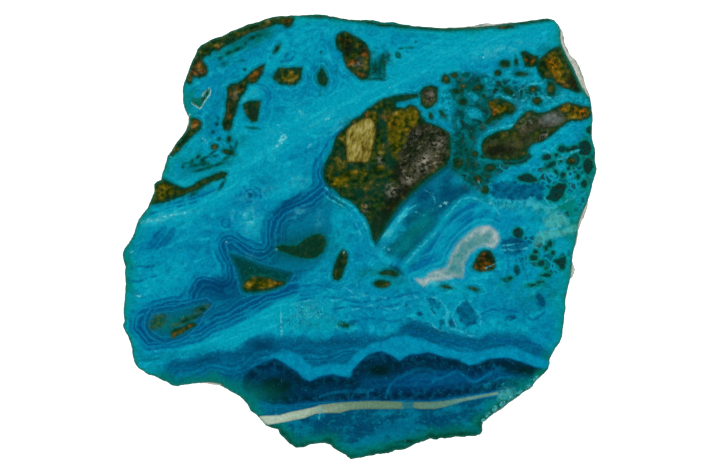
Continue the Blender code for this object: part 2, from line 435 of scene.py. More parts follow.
# %% [markdown]
# ## The broken wall
#
# The wall was never worked: it is a fresh break, with the weathered skin of the lump left on in places.
# It could be a displaced strip, but it has to lean in and out as the solid's wall does. So the face's
# border is extruded down in short steps, and each new vertex is put on the solid's rings at its own
# height, then pushed in a little by noise of three sizes for the grain of the break. Under the chipped
# border the wall steps back, so that from above the face keeps its own outline, except where the skin
# stands out.

# %% Extrude the wall and lay it through the rings
STEPS_PER_RING = 2
GRAIN_DEPTH_MM = 0.28
GRAINS = [(0.9, 1.0), (0.38, 0.35), (2.6, 0.8)]  # the size of each grain in millimetres, and its weight
GRAIN_AT_THE_TOP = 0.3  # the share of the grain just under the face
FULL_GRAIN_BY = 8  # the grain is at its full depth an eighth of the way down
SIDE_STEP = 0.6  # how far along a ring its direction is measured, in stations
WALL_FOOT_MM = 0.15  # the wall ends this far above the back, and a small slope joins them
HIDDEN_BY_MM = 0.04  # where there is no skin, the wall stays at least this far under the chipped edge
SKIN_ALLOWANCE = 1.2  # where there is skin, the wall may stand out by this much of the skin's width

wall_heights = []
for above, below in zip(ring_heights[:-1], ring_heights[1:]):
    for step in range(1, STEPS_PER_RING + 1):
        wall_heights.append(above + (below - above) * step / STEPS_PER_RING)
wall_heights[-1] = slab_low.z + WALL_FOOT_MM * MM


def grain(x, y, z, size):
    """Smooth noise from about -1 to 1 at a place in millimetres."""
    return noise.noise(Vector((x, y, z)) / size)


places = vertex_places(slab)
places[border, 2] = ring_heights[0]
move_vertices(slab, places)
face_vertex_count = len(places)

select_only(slab)
bpy.ops.object.mode_set(mode="EDIT")
select_open_edges()
height_now = ring_heights[0]
for height in wall_heights:
    bpy.ops.mesh.extrude_region_move(TRANSFORM_OT_translate={"value": (0, 0, height - height_now)})
    height_now = height
bpy.ops.object.mode_set(mode="OBJECT")

places = vertex_places(slab)
order = {(round(x, 9), round(y, 9)): number for number, (x, y, _) in enumerate(places[border])}
wall = np.arange(face_vertex_count, len(places))
wall_number = np.array([order[(round(x, 9), round(y, 9))] for x, y, _ in places[wall]])
wall_station = border_station[wall_number]
wall_z = places[wall, 2]
outward = -left_of(ring_point(0, wall_station + SIDE_STEP) - ring_point(0, wall_station - SIDE_STEP))
laid = np.zeros((len(wall), 2))
for number in range(len(rings) - 1):
    upper, lower = ring_heights[number], ring_heights[number + 1]
    part = ((upper - wall_z) / (upper - lower))[:, None]
    here = (part[:, 0] > 1e-6) & (part[:, 0] <= 1 + 1e-6)
    between = ring_point(number, wall_station) * (1 - part) + ring_point(number + 1, wall_station) * part
    laid[here] = between[here]
push = np.array([
    sum(weight * (0.5 + 0.5 * grain(x, y, z / MM, size)) for size, weight in GRAINS)
    for (x, y), z in zip(laid, wall_z)
])
depth_share = (FACE_HEIGHT - wall_z) / (FACE_HEIGHT - slab_low.z)
strength = GRAIN_DEPTH_MM * np.clip(depth_share * FULL_GRAIN_BY, GRAIN_AT_THE_TOP, 1.0)
laid -= outward * (push * strength)[:, None]
skin_width = np.zeros(len(wall))
for number in range(1, len(rings)):
    lean = ((ring_point(number, wall_station) - ring_point(0, wall_station)) * outward).sum(axis=1)
    skin_width = np.maximum(skin_width, lean)
face_edge = places[border, :2][wall_number] / MM
allowed = SKIN_ALLOWANCE * skin_width - HIDDEN_BY_MM
overhang = ((laid - face_edge) * outward).sum(axis=1) - allowed
laid -= outward * np.maximum(overhang, 0)[:, None]
places[wall, :2] = laid * MM
move_vertices(slab, places)
wall_count = len(slab.data.polygons) - face_count
print("the wall has", wall_count, "cells in", len(wall_heights), "rows")

# %% [markdown]
# ## The sawn back
#
# The back is flat from the saw and was left unpolished. It shows the same markings, since they run
# through the slice, so it gets a grid of its own with wider cells. Bridge Edge Loops joins the two open
# borders although they have different numbers of vertices, and leaves a narrow sloping rim, as a ground
# edge does.

# %% A wider grid for the back, bridged to the wall
BACK_INSET_MM = 0.55

foot_ring = rings[-1]
foot_inward = left_of(np.roll(foot_ring, -1, axis=0) - np.roll(foot_ring, 1, axis=0))
back_outline = foot_ring + foot_inward * (BACK_INSET_MM + GRAIN_DEPTH_MM)
back = trimmed_grid("back", back_outline, slab_low.z, BACK_STEP_MM)
back_border, _ = draw_border_onto(back, back_outline)
relax_beside(back, back_border, rows=2)
select_only(back)
bpy.ops.object.mode_set(mode="EDIT")
bpy.ops.mesh.select_all(action="SELECT")
bpy.ops.mesh.flip_normals()
bpy.ops.object.mode_set(mode="OBJECT")
back_count = len(back.data.polygons)

bpy.ops.object.select_all(action="DESELECT")
back.select_set(True)
slab.select_set(True)
bpy.context.view_layer.objects.active = slab
bpy.ops.object.join()
bpy.ops.object.mode_set(mode="EDIT")
select_open_edges()
bpy.ops.mesh.bridge_edge_loops(type="SINGLE")
bpy.ops.mesh.select_all(action="SELECT")
bpy.ops.mesh.normals_make_consistent(inside=False)
select_open_edges()
bpy.ops.object.mode_set(mode="OBJECT")
open_edges = sum(edge.select for edge in slab.data.edges)
triangles = sum(len(face.vertices) - 2 for face in slab.data.polygons)
print("the back has", back_count, "cells; open edges:", open_edges, "triangles:", triangles)

# %% [markdown]
# ## The open crack and the shading
#
# Near the top-left corner the polish stops at a small open crack. Its floor is made by lowering the
# vertices of the face that lie inside the crack's mouth, a little more with each tenth of a millimetre
# from its lip. Then the whole mesh is shaded smooth, except across edges that turn sharply, so the edge
# of the face stays.

# %% Sink the crack and shade the mesh
CRACK_MOUTH = trace("""
    192.5,98.5 197,98.5 201,97 203.5,93.5 205,91 208.5,88.5 210,91 209.5,94 206.5,98 203.8,102 202,106
    200,108 196.5,106 192.5,103.6
""")
CRACK_DEPTH_MM = 0.9
CRACK_SLOPE_MM = 0.45
SHARP_TURN = math.radians(32)

places = vertex_places(slab)
crack = outline_distance(places[:, :2] / MM, CRACK_MOUTH)
share = np.clip(-crack / CRACK_SLOPE_MM, 0, 1)
on_face = places[:, 2] > FACE_HEIGHT - 1e-6
places[on_face, 2] -= (CRACK_DEPTH_MM * MM * share ** 2 * (3 - 2 * share))[on_face]
move_vertices(slab, places)
select_only(slab)
bpy.ops.object.shade_smooth_by_angle(angle=SHARP_TURN)
print("the crack lowers", int((on_face & (share > 0)).sum()), "vertices")

# %% [markdown]
# ## Three ways to write a marking
#
# A marking with corners is a named outline, a thin one is a named line, and a roundish one is a spot: its
# middle, its two half-widths and its turn. All are in pixels of the photograph. Soft shades without an
# edge are written like spots too, with a strength, and fade away from their middle like a breath on
# glass.
#
# The layers of a real stone dip, so below the face the markings lean, and the back doesn't copy the
# front.

# %% Outlines, lines, spots and soft shades


def named_traces(text):
    """Several outlines or lines: a name and a colon start each, and its pairs may run over several lines."""
    found = []
    for word in text.split():
        if word.endswith(":"):
            found.append([])
        else:
            found[-1].append(word)
    return [trace(" ".join(pairs)) for pairs in found]


def rows_of_numbers(text):
    """Rows written as x,y,half-width,half-width,turn and so on, one row to a word."""
    return [[float(value) for value in word.split(",")] for word in text.split()]


def turned_offsets(points, px, py, turn):
    """Offsets in millimetres from a pixel's place, along and across a direction turned by some degrees."""
    offset = points - np.array(place_mm(px, py))
    cos, sin = math.cos(math.radians(turn)), math.sin(math.radians(turn))
    return offset[:, 0] * cos + offset[:, 1] * sin, offset[:, 1] * cos - offset[:, 0] * sin


def spot_distance(points, row):
    """Millimetres from each point to the edge of an oval spot, about, and below zero inside it."""
    px, py, along, across, turn = row
    u, v = turned_offsets(points, px, py, turn)
    reach = np.hypot(u / along, v / across) / PIXEL_MM
    return np.minimum((reach - 1) * min(along, across) * PIXEL_MM, REACH_MM)


def patches(points, outlines="", spots=""):
    """Distance to the nearest of several outlines and spots, below zero inside any of them."""
    result = np.full(len(points), REACH_MM)
    for outline in named_traces(outlines):
        result = np.minimum(result, outline_distance(points, outline))
    for row in rows_of_numbers(spots):
        result = np.minimum(result, spot_distance(points, row))
    return result


def strokes(points, lines):
    """Distance to the nearest of several open lines."""
    result = np.full(len(points), REACH_MM)
    for line in named_traces(lines):
        result = np.minimum(result, line_distance(points, line))
    return result


def soft_shade(points, rows):
    """Soft shades laid over each other: 0 where there is none, about 1 in the middle of a strong one."""
    result = np.zeros(len(points))
    for px, py, along, across, turn, strength in rows_of_numbers(rows):
        u, v = turned_offsets(points, px, py, turn)
        fall = np.exp(-((u / (along * PIXEL_MM)) ** 2 + (v / (across * PIXEL_MM)) ** 2))
        result = result + strength * fall * (1 - result)
    return result


def side_of_line(points, line):
    """Distance to an open line, above zero on its left as it runs and below zero on its right."""
    distance, piece, share = nearest_on_line(points, line, closed=False)
    along = np.diff(line, axis=0)
    left = left_of(along)
    facing = left[piece]
    at_start = (share <= 0) & (piece > 0)
    facing[at_start] += left[piece[at_start] - 1]
    at_end = (share >= 1) & (piece < len(along) - 1)
    facing[at_end] += left[piece[at_end] + 1]
    offset = points - line[piece] - share[:, None] * along[piece]
    return np.where((offset * facing).sum(axis=1) >= 0, distance, -distance)


LEAN = (0.42, -0.3)  # the markings move by these many millimetres with each millimetre down
STRAIGHT_MM = 1.0  # nothing leans above this depth, so the face and its crack stay as they were read

places = vertex_places(slab)
points = places[:, :2] / MM
fields = {}
fields["rim"] = np.clip(nearest_on_line(points, face_outline, closed=True)[0], 0, REACH_MM)
fields["rim"] = np.where(is_inside(points, face_outline), fields["rim"], -fields["rim"])
deeper = np.maximum((FACE_HEIGHT - places[:, 2]) / MM - STRAIGHT_MM, 0)
points = points + deeper[:, None] * np.array(LEAN)
print("the rim's field runs from", fields["rim"].min().round(2), "to", fields["rim"].max().round(2), "mm")

# %% [markdown]
# ## Broken rock in the stone
#
# The brown and olive pieces are the host rock that broke up before the chrysocolla grew. Each is an
# outline of its own, and all of them together make one field, because they share one finish. What colours
# a part of a clast, such as the beige crystal or the ochre lump, is a patch laid over it.

# %% The clasts
CLASTS = """
top_left_rim: 186,76 185,81 189,84 192,83 193,77 200,78 205,76 208,72 207,66 203,61 204,57 210,55 213,51
    219,51 224,47 231,44 238,40 243,37 250,33 258,31 270,27 277,24 283,25 287,28 292,26 294,20 293,12 270,8
    240,14 205,30 186,50 176,72
worm: 265,64 263,71 260,78 256.5,83 251.5,84 247.5,83.5 246,90 242,96 238.5,103 237.5,108 235,115 232.5,121
    231.7,128 228,131 223.7,129.5 221.7,124.7 223.7,118 225.8,111 225.3,103 227.5,95 226.7,88 230,84.5
    236.7,83 241.7,80 246.7,75 253,70 260,65.5
parallelogram: 278.3,68 302.5,67.5 300.5,80 295,85.5 280,84 272.5,78 275.5,72
diamond: 322,67 328.5,79.7 325.8,86.5 318.3,83.5 317.3,74.7
dark_quad: 242.5,104.7 248,101 261,100.5 259,111 257.5,121 251.7,122.5 246.7,116
upper: 336,38 338,34 345,31 350,33 355,36 362,40 367,45 370,51 371,57 370,75 368,79 362,80 357,77 352,73
    347,68 344,61 342,53 337,49 335.5,43
top_of_heart: 372,106 380,100 392,96.5 405,94.5 418,93.5 419,97 409,99.5 399,102 388,105 378,108
heart: 384,101 378,102 372,106 365,111 360,116 352,120 347,126 340,131 335,138 333,146 331,153 327,159
    324,166 323,173 324,180 328,186 335,191 342,197 350,201 356,206 360,212 365,217 369,224 371,232 372,239
    375,242 378,238 383,231 388,222 394,213 400,205 407,198 415,190 423,183 432,176 440,170 447,165 450,158
    451,150 450,133 444,129 436,125 427,122 422,117 420,111 416,106 410,104 404,108 397,107 395,100
cube: 419,92 424,87 431,85 438,87 438,94 437,102 432,107 427,109 421,105 420,98
cluster_corner: 441,82 442,77 445,74 449,77 451,82 447,84
brown_cube: 521,52 525,51 531,54 538,56 539,62 536,66 531,68 525,67 523,60
beside_edge: 548,82 553,82 556,88 554,95 549,96 547,90
small_wedge: 502,87 508,87 513,91 514,95 508,95 504,92
olive_cluster: 487,101 493,99 500,98 507,101 513,104 516,109 512,115 505,114 499,119 493,121 488,125 484,123
    489,117 491,112 488,107
ochre_edge: 536,66 540,58 545,54 550,50 556,47 561,45 565,55 571,66 576,76 580,86 583,92 578,93 570,90
    562,88 556,84 553,80 547,79 542,79 538,73
long: 512,128 517,120 524,113 531,110 539,113 546,112 553,108 560,105 567,102 575,104 585,106 592,107
    592,114 588,119 580,121 572,121 566,124 560,128 553,134 548,138 541,143 533,144 528,150 527,156 520,160
    510,161 500,160 490,160 485,157 481,150 481,144 484,138 490,135 497,131 505,130
pebble: 472,267 475,260 479,253 484,250 490,251 493,255 495,260 496,267 493,270 486,271 479,272 474,270
left_wedge: 150,184 155,184 158,181 163,179 168,181 174,184 180,187 186,188 193,185 200,180 207,177 215,174
    222,171 228,173 225,178 218,180 210,182 204,186 198,190 190,193 182,196 172,200 163,203 148,205
left_edge: 188,116 190,118 197,118 202,122 201,129 196,133 190,139 184,145 178,152 170,158 168,150 172,142
    182,130
stadium_rust: 170,332 175,328 182,327 188,323 194,322 197,325 190,329 183,333 177,336 172,339
lens_ochre: 242,288 244,281 250,277 260,275.5 269,277 276,279.5 286,281.5 286,284 278,288 268,290.5 255,292
    245,292
black_green: 276,247 283,244.5 290,246 298,245 304,240 311,235.5 319,233.5 324.5,236 326,243 323,252
    316,257.5 306,259 297,257 288,254 280,251
upright: 343,249 347,252 348,258 347,264 344,270 342,277 338,281 333,279 332,274 334,267 336,260 339,254
olive_lens: 373,283 377,280 383,280 389,281 391,284 388,287 382,288 376,287
green_lens: 378,273 385,270 392,270 398,272 399,275 395,277 388,275 381,275
"""
CLAST_SPOTS = """
277,48.5,4.5,2.2,55 229,139,3,2.4,80 214.5,147,3.6,3,0 228.5,152,6,2.6,-15 454.5,75.5,3.6,3,0 463,86,3,2.6,0
461,91,3,2.6,30 456,91,3.4,3,0 478,88,6,3.6,15 505,64,5.4,4,0 516,62,1.8,3.4,0 498,73,3.6,3,10
521,74,6,2.4,0 484,96,2.2,2,0 463,102,4.6,4,0 533,89,4.4,3.4,0 537,101,4.8,4.2,0 443,115,5,2,-50
458,163,5.4,6,0 475,154,4,3.4,0 490,168,6,4.4,10 478,179,5,4,-20 485,190,4.2,4,0 474,289,5,1.8,-15
446,287,5,1.8,-10 344,325,5,2.4,-10 431,116,2,3.4,0 466,150,2,2,0 571,161,4.6,4.2,0 505,26.5,10,2.6,3
"""
HALF_A_LINE_MM = 0.25
DARK_LINE_OF_THE_RIM = """
along_the_top: 296,12 300,14.5 325,16.5 340,18 350,20 365,21 380,25 400,26 430,29 455,29 490,27 520,23.5
    550,19.5
"""

dark_line = strokes(points, DARK_LINE_OF_THE_RIM) - HALF_A_LINE_MM
fields["rock"] = np.minimum(patches(points, CLASTS, CLAST_SPOTS), dark_line)
print("in rock:", round((fields["rock"][on_face] < 0).mean() * 100, 1), "% of the face")

# %% [markdown]
# ## Colours within the clasts
#
# No clast is one brown. The heart-shaped one holds a beige crystal, an ochre lump and a grey granular piece,
# and rust has gathered in others. Each of these gets a field of its own, because each has its own colours.
# Where a tint has no edge, as the amber and the drab have none, a soft shade takes the outline's place.

# %% Colour patches on the clasts
BEIGE = """
crystal: 345.8,140 347,130 351,125.5 357,123 362,119.5 369,117.5 373.5,121.5 376,129 374.5,138 372,148
    370.5,157 368,162 347.5,162 346.5,152
"""
OCHRE = """
lump: 386.7,126.7 393,115 400,109 413,106 418,108 419,116.7 416.7,123 410,133 403,146.7 392.5,156.3
    388.3,153.3 385.8,145 388,138
chip: 367,113 376,112 377,125 370,119
lens: 243,287 246,281 252,277 262,276.5 272,279.5 285,282.5 274,287 258,290
edge: 545,57 551,52 557,53 560,61 567,70 572,78 562,83 556,80 552,74 547,68
"""
OCHRE_SPOTS = """
240,39,13,2,27 216,53,8,2,32 264,29.5,9,1.8,16 204,62,4,3,50 247,113,3,4,0 290,76,9,5,5 323,77,2.4,5,0
566,109,5,3.4,0 580,112,7,4,-10 454,75,2,2,0 462,87,2,3.4,-30 463,86,2,2,0 214.5,147,2.4,2,0 498,73,2.4,2,0
491,105,4,4,0 502,109,4,3,0 182,331,10,2,25 274,283,6,1.8,-5 456,168,2.4,2.4,0 550,89,2.4,3,0 508,91,3,2,-30
337,275,2,4,20 382,284,6,2,0 344,178,14,5,35 331,172,4,8,0 366,172,5,3,0 379,168,5,3,20 575,116,12,3,10
162,190,12,7,-10 184,191,8,2.6,10
"""
RUST = """
worm_top: 248,78 254,82 259,78 263,70 264,65 260,67 255,72
"""
RUST_SPOTS = """
287,22,4,4,0 240,87,3,4,0 231,96,3.4,7,10 230,112,2.4,8,0 228,127,2.6,4,0 200,65,9,3,10 189,74,4,6,30
217,48,2,2,0 200,72,8,3,0 383,117,3,3,0 366,196,2,2,0 366,207,2,2,0 484,262,11,10,0 553,62,8,5,-40
562,73,5,3,-30 493,112,4,3,20 488,118,3,3,0 364,52,5,5,0 352,62,3,5,-60 362,76,6,3,-20 345,40,5,3,0
458,161,3,3,0 475,154,3,2,0 490,168,4,2,0 478,179,4,3,0 530,60,5,4,0 537,101,3,3,0 571,161,2.4,2,0
195,124,3,5,-40 560,82,5,3,-30 553,70,2,5,20 576,86,4,4,0 505,26,9,2.6,3 368,151,2.4,7,-8 478,88,4,2,0
192,325,4,1.6,20 177,334,4,1.6,30 277,48.5,3,1.4,55 229,139,1.6,1.6,0
"""
GREY = """
granular: 404,140 412,132 420,125 430,123 440,127 449,134 450,145 448,155 442,165 432,172 422,180 414,186
    405,192 400,196 396,190 398,178 396,168 398,158
long_patch: 538,121 546,115 556,112 562,116 558,124 548,128 540,128
cube_front: 424,91 433,88 436,95 432,103 426,104
"""
GREY_SPOTS = """
358,63,4,5,0 390,193,6,8,0 196,73,6,3,0 344,253,1.8,1.8,0 396,274,2,1.8,0 528,128,10,4,30 512,147,4,3,12
524,140,5,3,30 459,98,2,2,0 202,60,6,3,30
"""
AMBER_SHADE = """
553,66,4,10,15,0.9 565,108,5,3,0,0.9 580,112,8,5,0,1 462,88,2,4,0,0.7 490,107,4,5,0,0.5 502,108,4,3,0,0.4
256,72,6,3,20,0.5 392,122,6,8,0,0.3 276,283,7,2,-8,0.6 367,116,3,3,0,0.6 182,331,10,2,25,0.5
566,86,4,3,-30,0.5 505,26,9,3,3,0.5
"""
DRAB_SHADE = """
506,147,24,10,12,0.9 530,128,14,6,30,0.6 484,148,8,6,0,0.5 545,138,8,3,30,0.4
"""
BLACK_SPOTS = """
374,235,4,9,0 577,85,6,9,-35 395,200,8,14,-20 386,217,8,22,-25 498,150,14,5,5 431,95,4,4,0 347,50,5,9,-30
463,102,4,3.4,0 253,112,5,8,0 575,90,5,4,-30 365,44,3,4,0 405,192,8,6,0 296,251,10,3,20 340,262,3,6,10
486,256,5,2,0 448,161,4,4,0 545,136,12,2,28 470,143,5,4,0 480,146,4,3,0 398,173,5,10,10 415,133,9,6,35
378,222,5,12,-10 571,80,5,5,-40
"""

fields["beige"] = patches(points, BEIGE)
fields["ochre"] = patches(points, OCHRE, OCHRE_SPOTS)
fields["rust"] = patches(points, RUST, RUST_SPOTS)
fields["amber"] = soft_shade(points, AMBER_SHADE)
fields["drab"] = soft_shade(points, DRAB_SHADE)
fields["grey"] = patches(points, GREY, GREY_SPOTS)
fields["black"] = patches(points, "", BLACK_SPOTS)
print("fields so far:", len(fields))

# %% [markdown]
# ## Green stains and the net of cells
#
# Where the blue stone meets the rock it turns green, and at the right a net of pale blue walls holds
# small dark cells. The dark green patches and the cells are outlines and spots again. The broken green
# ground between the larger clasts, which holds the small ones, is a few outlines with soft edges.

# %% Green ground, cells and blue polygons
GREEN_GROUND = """
breccia: 447,92 452,80 459,75 466,78 474,72 483,77 492,79 505,82 516,86 526,84 536,90 532,98 520,104 518,112
    510,118 498,124 486,132 478,138 476,146 480,158 490,160 502,163 500,170 490,180 484,188 490,203 484,202
    476,192 468,185 460,178 452,172 449,160 455,150 448,140 455,130 449,120 456,112 452,104
round_the_edge_clast: 544,82 552,78 560,86 566,94 560,98 550,100 542,94
halo_of_upper: 365,78 372,80 384,79 388,60 384,54 378,58 372,52 366,60
right_edge: 582,136 592,140 597,150 597,170 586,170 578,160 580,146
strip: 563,44 567,48 578,66 588,88 584,92 575,76 566,58
"""
GREEN_SPOTS = """
252,38,4,2.2,25 259,35,3,2,0 238,49,6,1.8,24 229,53,4,1.8,30 221,58,3,2,30 246,43,2,2,0 205,158,7,1.5,25
212,153,6,1.3,38 196,165,7,1.5,14 188,163,6,1.3,8 219,164,6,1.8,25 226,158,5,1.8,38 200,170,8,1.5,12
232,150,1.8,6,20 236,146,1.6,5,-10 208,164,1.5,4,50 240,61,5,1,10 245,69.5,2,2,0 218,118,3,1.4,-50
217,124,2.2,2.4,0 213,132,1.8,2,0 219,139,2.6,2.4,0 203,163,3.4,3.4,30 192,162,2,4,-20 183,167,2,2,0
210,167,5,2,20 215,156,4,1.4,10 198,157,2,3,-40 253,128,7,1.6,-8 380,68,1.4,9,-5 376,67,1.4,7,10
384,67,1.4,9,5 375,79,9,1.4,0 398,55,3,4,30 401,48.5,3,1.2,0 410,47.5,5,1.2,0 415.5,42,1.4,1.4,0
407,52,1.2,1.2,0 336,70.5,1.2,1.2,0 321,52,1.6,1.8,0 320,94,1,2,0 466,75,4,3,0 538,89,3,3,0 506,280,5,2,-15
517,270,3.4,6,10 190,319,12,2,22 203,309,3,3,0 222,185,2,8,-35 193,194,5,2,20 532,387,5,2,40 515,401,5,2,40
499,411,5,2,40 489,418,4,2,50 524,394,3,1.4,40 450,436,26,2.4,6 410,441,16,2,6
"""
CYAN_PATCHES = """
beside_cube: 440,86 446,88 451,96 452,106 449,116 444,122 438,118 441,108 440,98
heart_corner: 420,110 428,112 436,118 446,128 442,126 432,122 424,118
main_vein: 478,142 480,138 486,133 494,128 504,124 512,121 517,116 520,108 524,104 528,106 524,114 518,120
    510,126 500,129 490,133 484,138 482,144
above_long: 530,98 542,98 552,100 560,100 552,106 544,109 536,110 528,108 526,104
right_strip: 558,88 566,94 580,97 590,100 590,105 578,104 566,102 556,101 552,97 560,95
under_brown: 516,78 526,79 538,80 548,84 542,88 530,86 520,84
inside_a: 463,110 470,107 478,110 484,114 482,119 474,118 466,116
inside_b: 466,94 472,92 478,97 474,104 468,102
streak: 494,203 506,201 520,202 530,207 519,208 506,209 496,208
inside_c: 482,80 490,79 496,84 492,90 484,88
"""
CYAN_SPOTS = """
500,112,4,2,20 488,94,3,2,0 458,122,2,4,0 512,100,5,2,-20 545,92,2,5,10 560,92,4,2,0 497,95,5,2,20
"""
CELLS = """
lens: 517,178 522,175 528,173 533,176 539,181 530,183 520,181
big_dark: 552,187 558,183 566,184 565,190 563,197 556,202 549,200 545,199 549,194
low_triangle: 553,261 560,258 566,256 566,262 564,270 561,270 558,265
spindle: 539,275 547,273 551,274 550,277 545,277
gap_by_long: 500,158 508,152 516,158 524,156 528,152 532,156 524,163 512,165 504,164
"""
CELL_SPOTS = """
547,157,4.6,3.2,20 551,165,6,2.6,35 562,149,4.2,3.2,0 561,161,1.8,1.8,0 574,148,4.4,2.4,20 575,160,5,6,0
563,175,3,3,0 518,233,5,5.4,30 536,252,2.6,2.4,0 534,258,4.2,2.8,-15 541,263,3.6,3,20 550,244,2.4,3.4,-20
533,285,5,1.4,5 510,278,2.6,2,0 585,148,7,8,0 588,166,5,8,0 484,156,4,3,0 546,248,2,2,0 553,253,2,2,0
546,268,2,1.6,0 540,282,3,1.4,10 568,150,2,2,0 556,155,2,2,0 569,168,2,2.4,0 556,172,3,1.6,-40 590,130,4,4,0
584,184,3,4,0 578,176,2,3,0
"""
NAVY_POLYGONS = """
big: 455,309 460,304 466,301 470,303 474,310 478,317 477,322 472,326 464,325 460,320 457,314
a: 430,309 433,307 436,314 433,314
b: 434,303 440,303 441,309 437,310
c: 437,320 445,319 443,324 440,325
d: 451,314 455,320 458,328 452,327 449,325
e: 426,297 434,298 436,303 429,306
under_blob: 500,246 503,240 512,236 520,238 529,240 529,246 523,250 515,256 508,254 502,250
pool: 493,184 505,181 515,180 520,184 530,184 540,182 545,186 540,193 530,197 520,200 505,200 495,198
    489,192
"""
NAVY_SPOTS = """
406,306,1.4,2,0 420,314,2.4,2,0 511,318,5,2,10 154,264,6,1.4,25 540,300,4,8,20 350,323,6,3,10
250,195,2.4,2.4,0 540,196,4,4,0
"""

fields["green_ground"] = patches(points, GREEN_GROUND)
fields["green"] = patches(points, "", GREEN_SPOTS)
fields["cyan"] = patches(points, CYAN_PATCHES, CYAN_SPOTS)
fields["cells"] = patches(points, CELLS, CELL_SPOTS)
fields["navy"] = patches(points, NAVY_POLYGONS, NAVY_SPOTS)
print("fields so far:", len(fields))

# %% [markdown]
# ## Bands, scallops and veins
#
# The agate bands run side by side, so one line is enough for all of them: the line is their outermost
# one, and each band is a distance from it. The scallops along the bottom work the same way, from the top
# of the dark lobes. The vein and the zones are outlines.

# %% The banded parts
AGATE_LINE = trace("""
    318,154 313,160 312.5,168 313,176 314,182 311,187 305,190 300,191 295,195 290,199 283,202 277,205 270,209
    266,213 264,219 263.5,226 263,232 261,242 255,241 249,239 243,236 238,233 232,231 226,232 221,235 217,240
    216,247 216,255 218,263 221,270 222,276 214,273 208,273 200,273 195,276 189,284 183,293 172,296 162,299
    150,302 138,306 131,315 130,328 137,340 146,351 160,350 177,347 190,345 203,342 212,336 221,331 234,325
    251,315 271,305 292,297 318,293
""")
AGATE_INTERIOR = """
upper: 314,155 326,168 332,186 335,200 330,220 326,240 318,262 304,270 296,278 300,292 318,293 292,297
    271,305 251,315 234,325 212,336 190,345 160,350 146,351 130,328 131,315 150,302 183,293 195,276 222,276
    216,255 221,235 238,233 261,242 264,219 283,202 311,187 312,168
"""
GREEN_TRIANGLE = """
triangle: 229,253 240,256 250,260 262,265 275,268 285,270 294,273 290,279 284,285 276,290 262,293 248,294
    241,292 239,283 236,270 232,261
"""
STADIUM_CORE = """
core: 147,318 152,311 170,308 190,304 206,300 212,304 204,312 196,326 180,338 165,342 152,336 146,328
"""
OLIVE_BLOBS = """
157,323,8,5,20 160,318,6,3,10 153,327,4,3,0 190,318,14,3,25 200,310,6,3,20 206,307,4,2,20 176,326,4,2,20
"""
DEEP_ZONE = """
zone: 140,384 158,380 165,365 175,360 190,357 205,352 220,350 235,351 240,347 247,340 258,337 280,337
    300,337 320,339 335,336 350,332 365,335 380,336 395,333 400,326 415,320 425,321 436,328 450,331 463,334
    480,337 497,332 512,332 527,338 540,345 552,350 600,360 590,480 130,480 120,400
"""
TURQUOISE_STRIPE = """
stripe: 140,358 160,354 180,349 200,345 215,338 235,328 250,318 265,309 280,300 300,293 296,312 270,330
    250,338 240,345 232,350 220,350 200,352 180,357 165,362 150,368 138,368
"""
PALE_BAND = """
band: 262,358 278,353 290,353 300,355 306,362 312,368 320,367 330,364 348,364 352,358 358,352 365,348
    371,344 385,341 394,337 407,336 422,340.5 430,342 442,347 457,351 471,353 483,351 500,348 520,349
    532,355 549,361 560,366 556,374 547,369.5 536,367 522,362 508,357.7 489,358.5 478,364 469,365.5 457,359
    444,357 428,352 410,354.6 405,357 400,361 392,355 382,351 375,352 367,355 360,362 353,369 350,377
    340,376 333,374 325,375 318,377 313,380 310,381 303,378 298,372 290,367 283,362 275,358
"""
LOBES = """
lobes: 275,358 283,362 290,367 298,372 303,378 310,381 313,380 318,377 325,375 333,374 340,376 350,377
    353,369 360,362 367,355 375,352 382,351 392,355 400,361 405,357 410,354.6 428,352 444,357 457,359
    469,365.5 478,364 489,358.5 508,357.7 522,362 536,367 547,369.5 560,376 552,388 515,389 498,391 480,394
    458,397 430,401 400,401 365,401 335,402 310,403 290,405 272,405 256,400 245,393 240,385 243,374 255,365
    262,361
"""
INNER_ARCS = """
a: 386,397 388,390 391,384 396,379 402,376.5 409,372 416,369.4 423,368.4 430,369.4 434,372 436,376 433,382
b: 433,382 438,379 442.5,378 450,374 457,371 461,373 464,376 469,379 474,382 480,380 485,376 491,373 498,370
    505,368.6
c: 320,397 330,393 345,391 360,392 372,390
d: 245,368 250,366 255,365 263,361 272,358
e: 484,386 492,381 500,378 512,377 524,379
f: 352,398 354,392 360,389 367,391 368,397
g: 494,366 500,372
h: 500,366 494,372
"""
QUARTZ = """
vein: 259,416 280,415 290,412 300,410 310,408 320,405 335,403 350,402 365,401 385,401 402,402 414,402
    416,408 402,409 365,409 350,410 340,413 325,413 315,414 305,418 295,420 285,422 268,425 256,424
right: 414,402 430,402 443,401 458,398.5 470,396.5 480,395 498,391.5 499,394.5 480,398 470,400 460,402.5
    452,405 445,407 435,409 420,409 413,408
"""
UNDER_VEIN = """
under: 240,426 268,425 285,422 305,418 325,413 350,410 400,409 435,409 452,405 480,399 500,397 530,392
    560,390 560,480 240,480
"""

fields["agate"] = np.clip(side_of_line(points, AGATE_LINE), -REACH_MM, REACH_MM)
fields["olive_blob"] = patches(points, "", OLIVE_BLOBS)
fields["arcs"] = strokes(points, INNER_ARCS)
for name, outlines in (
    ("agate_inside", AGATE_INTERIOR), ("stadium", STADIUM_CORE), ("triangle", GREEN_TRIANGLE),
    ("deep", DEEP_ZONE), ("stripe", TURQUOISE_STRIPE), ("pale_band", PALE_BAND), ("lobes", LOBES),
    ("quartz", QUARTZ), ("under_vein", UNDER_VEIN),
):
    fields[name] = patches(points, outlines)
print("fields so far:", len(fields))
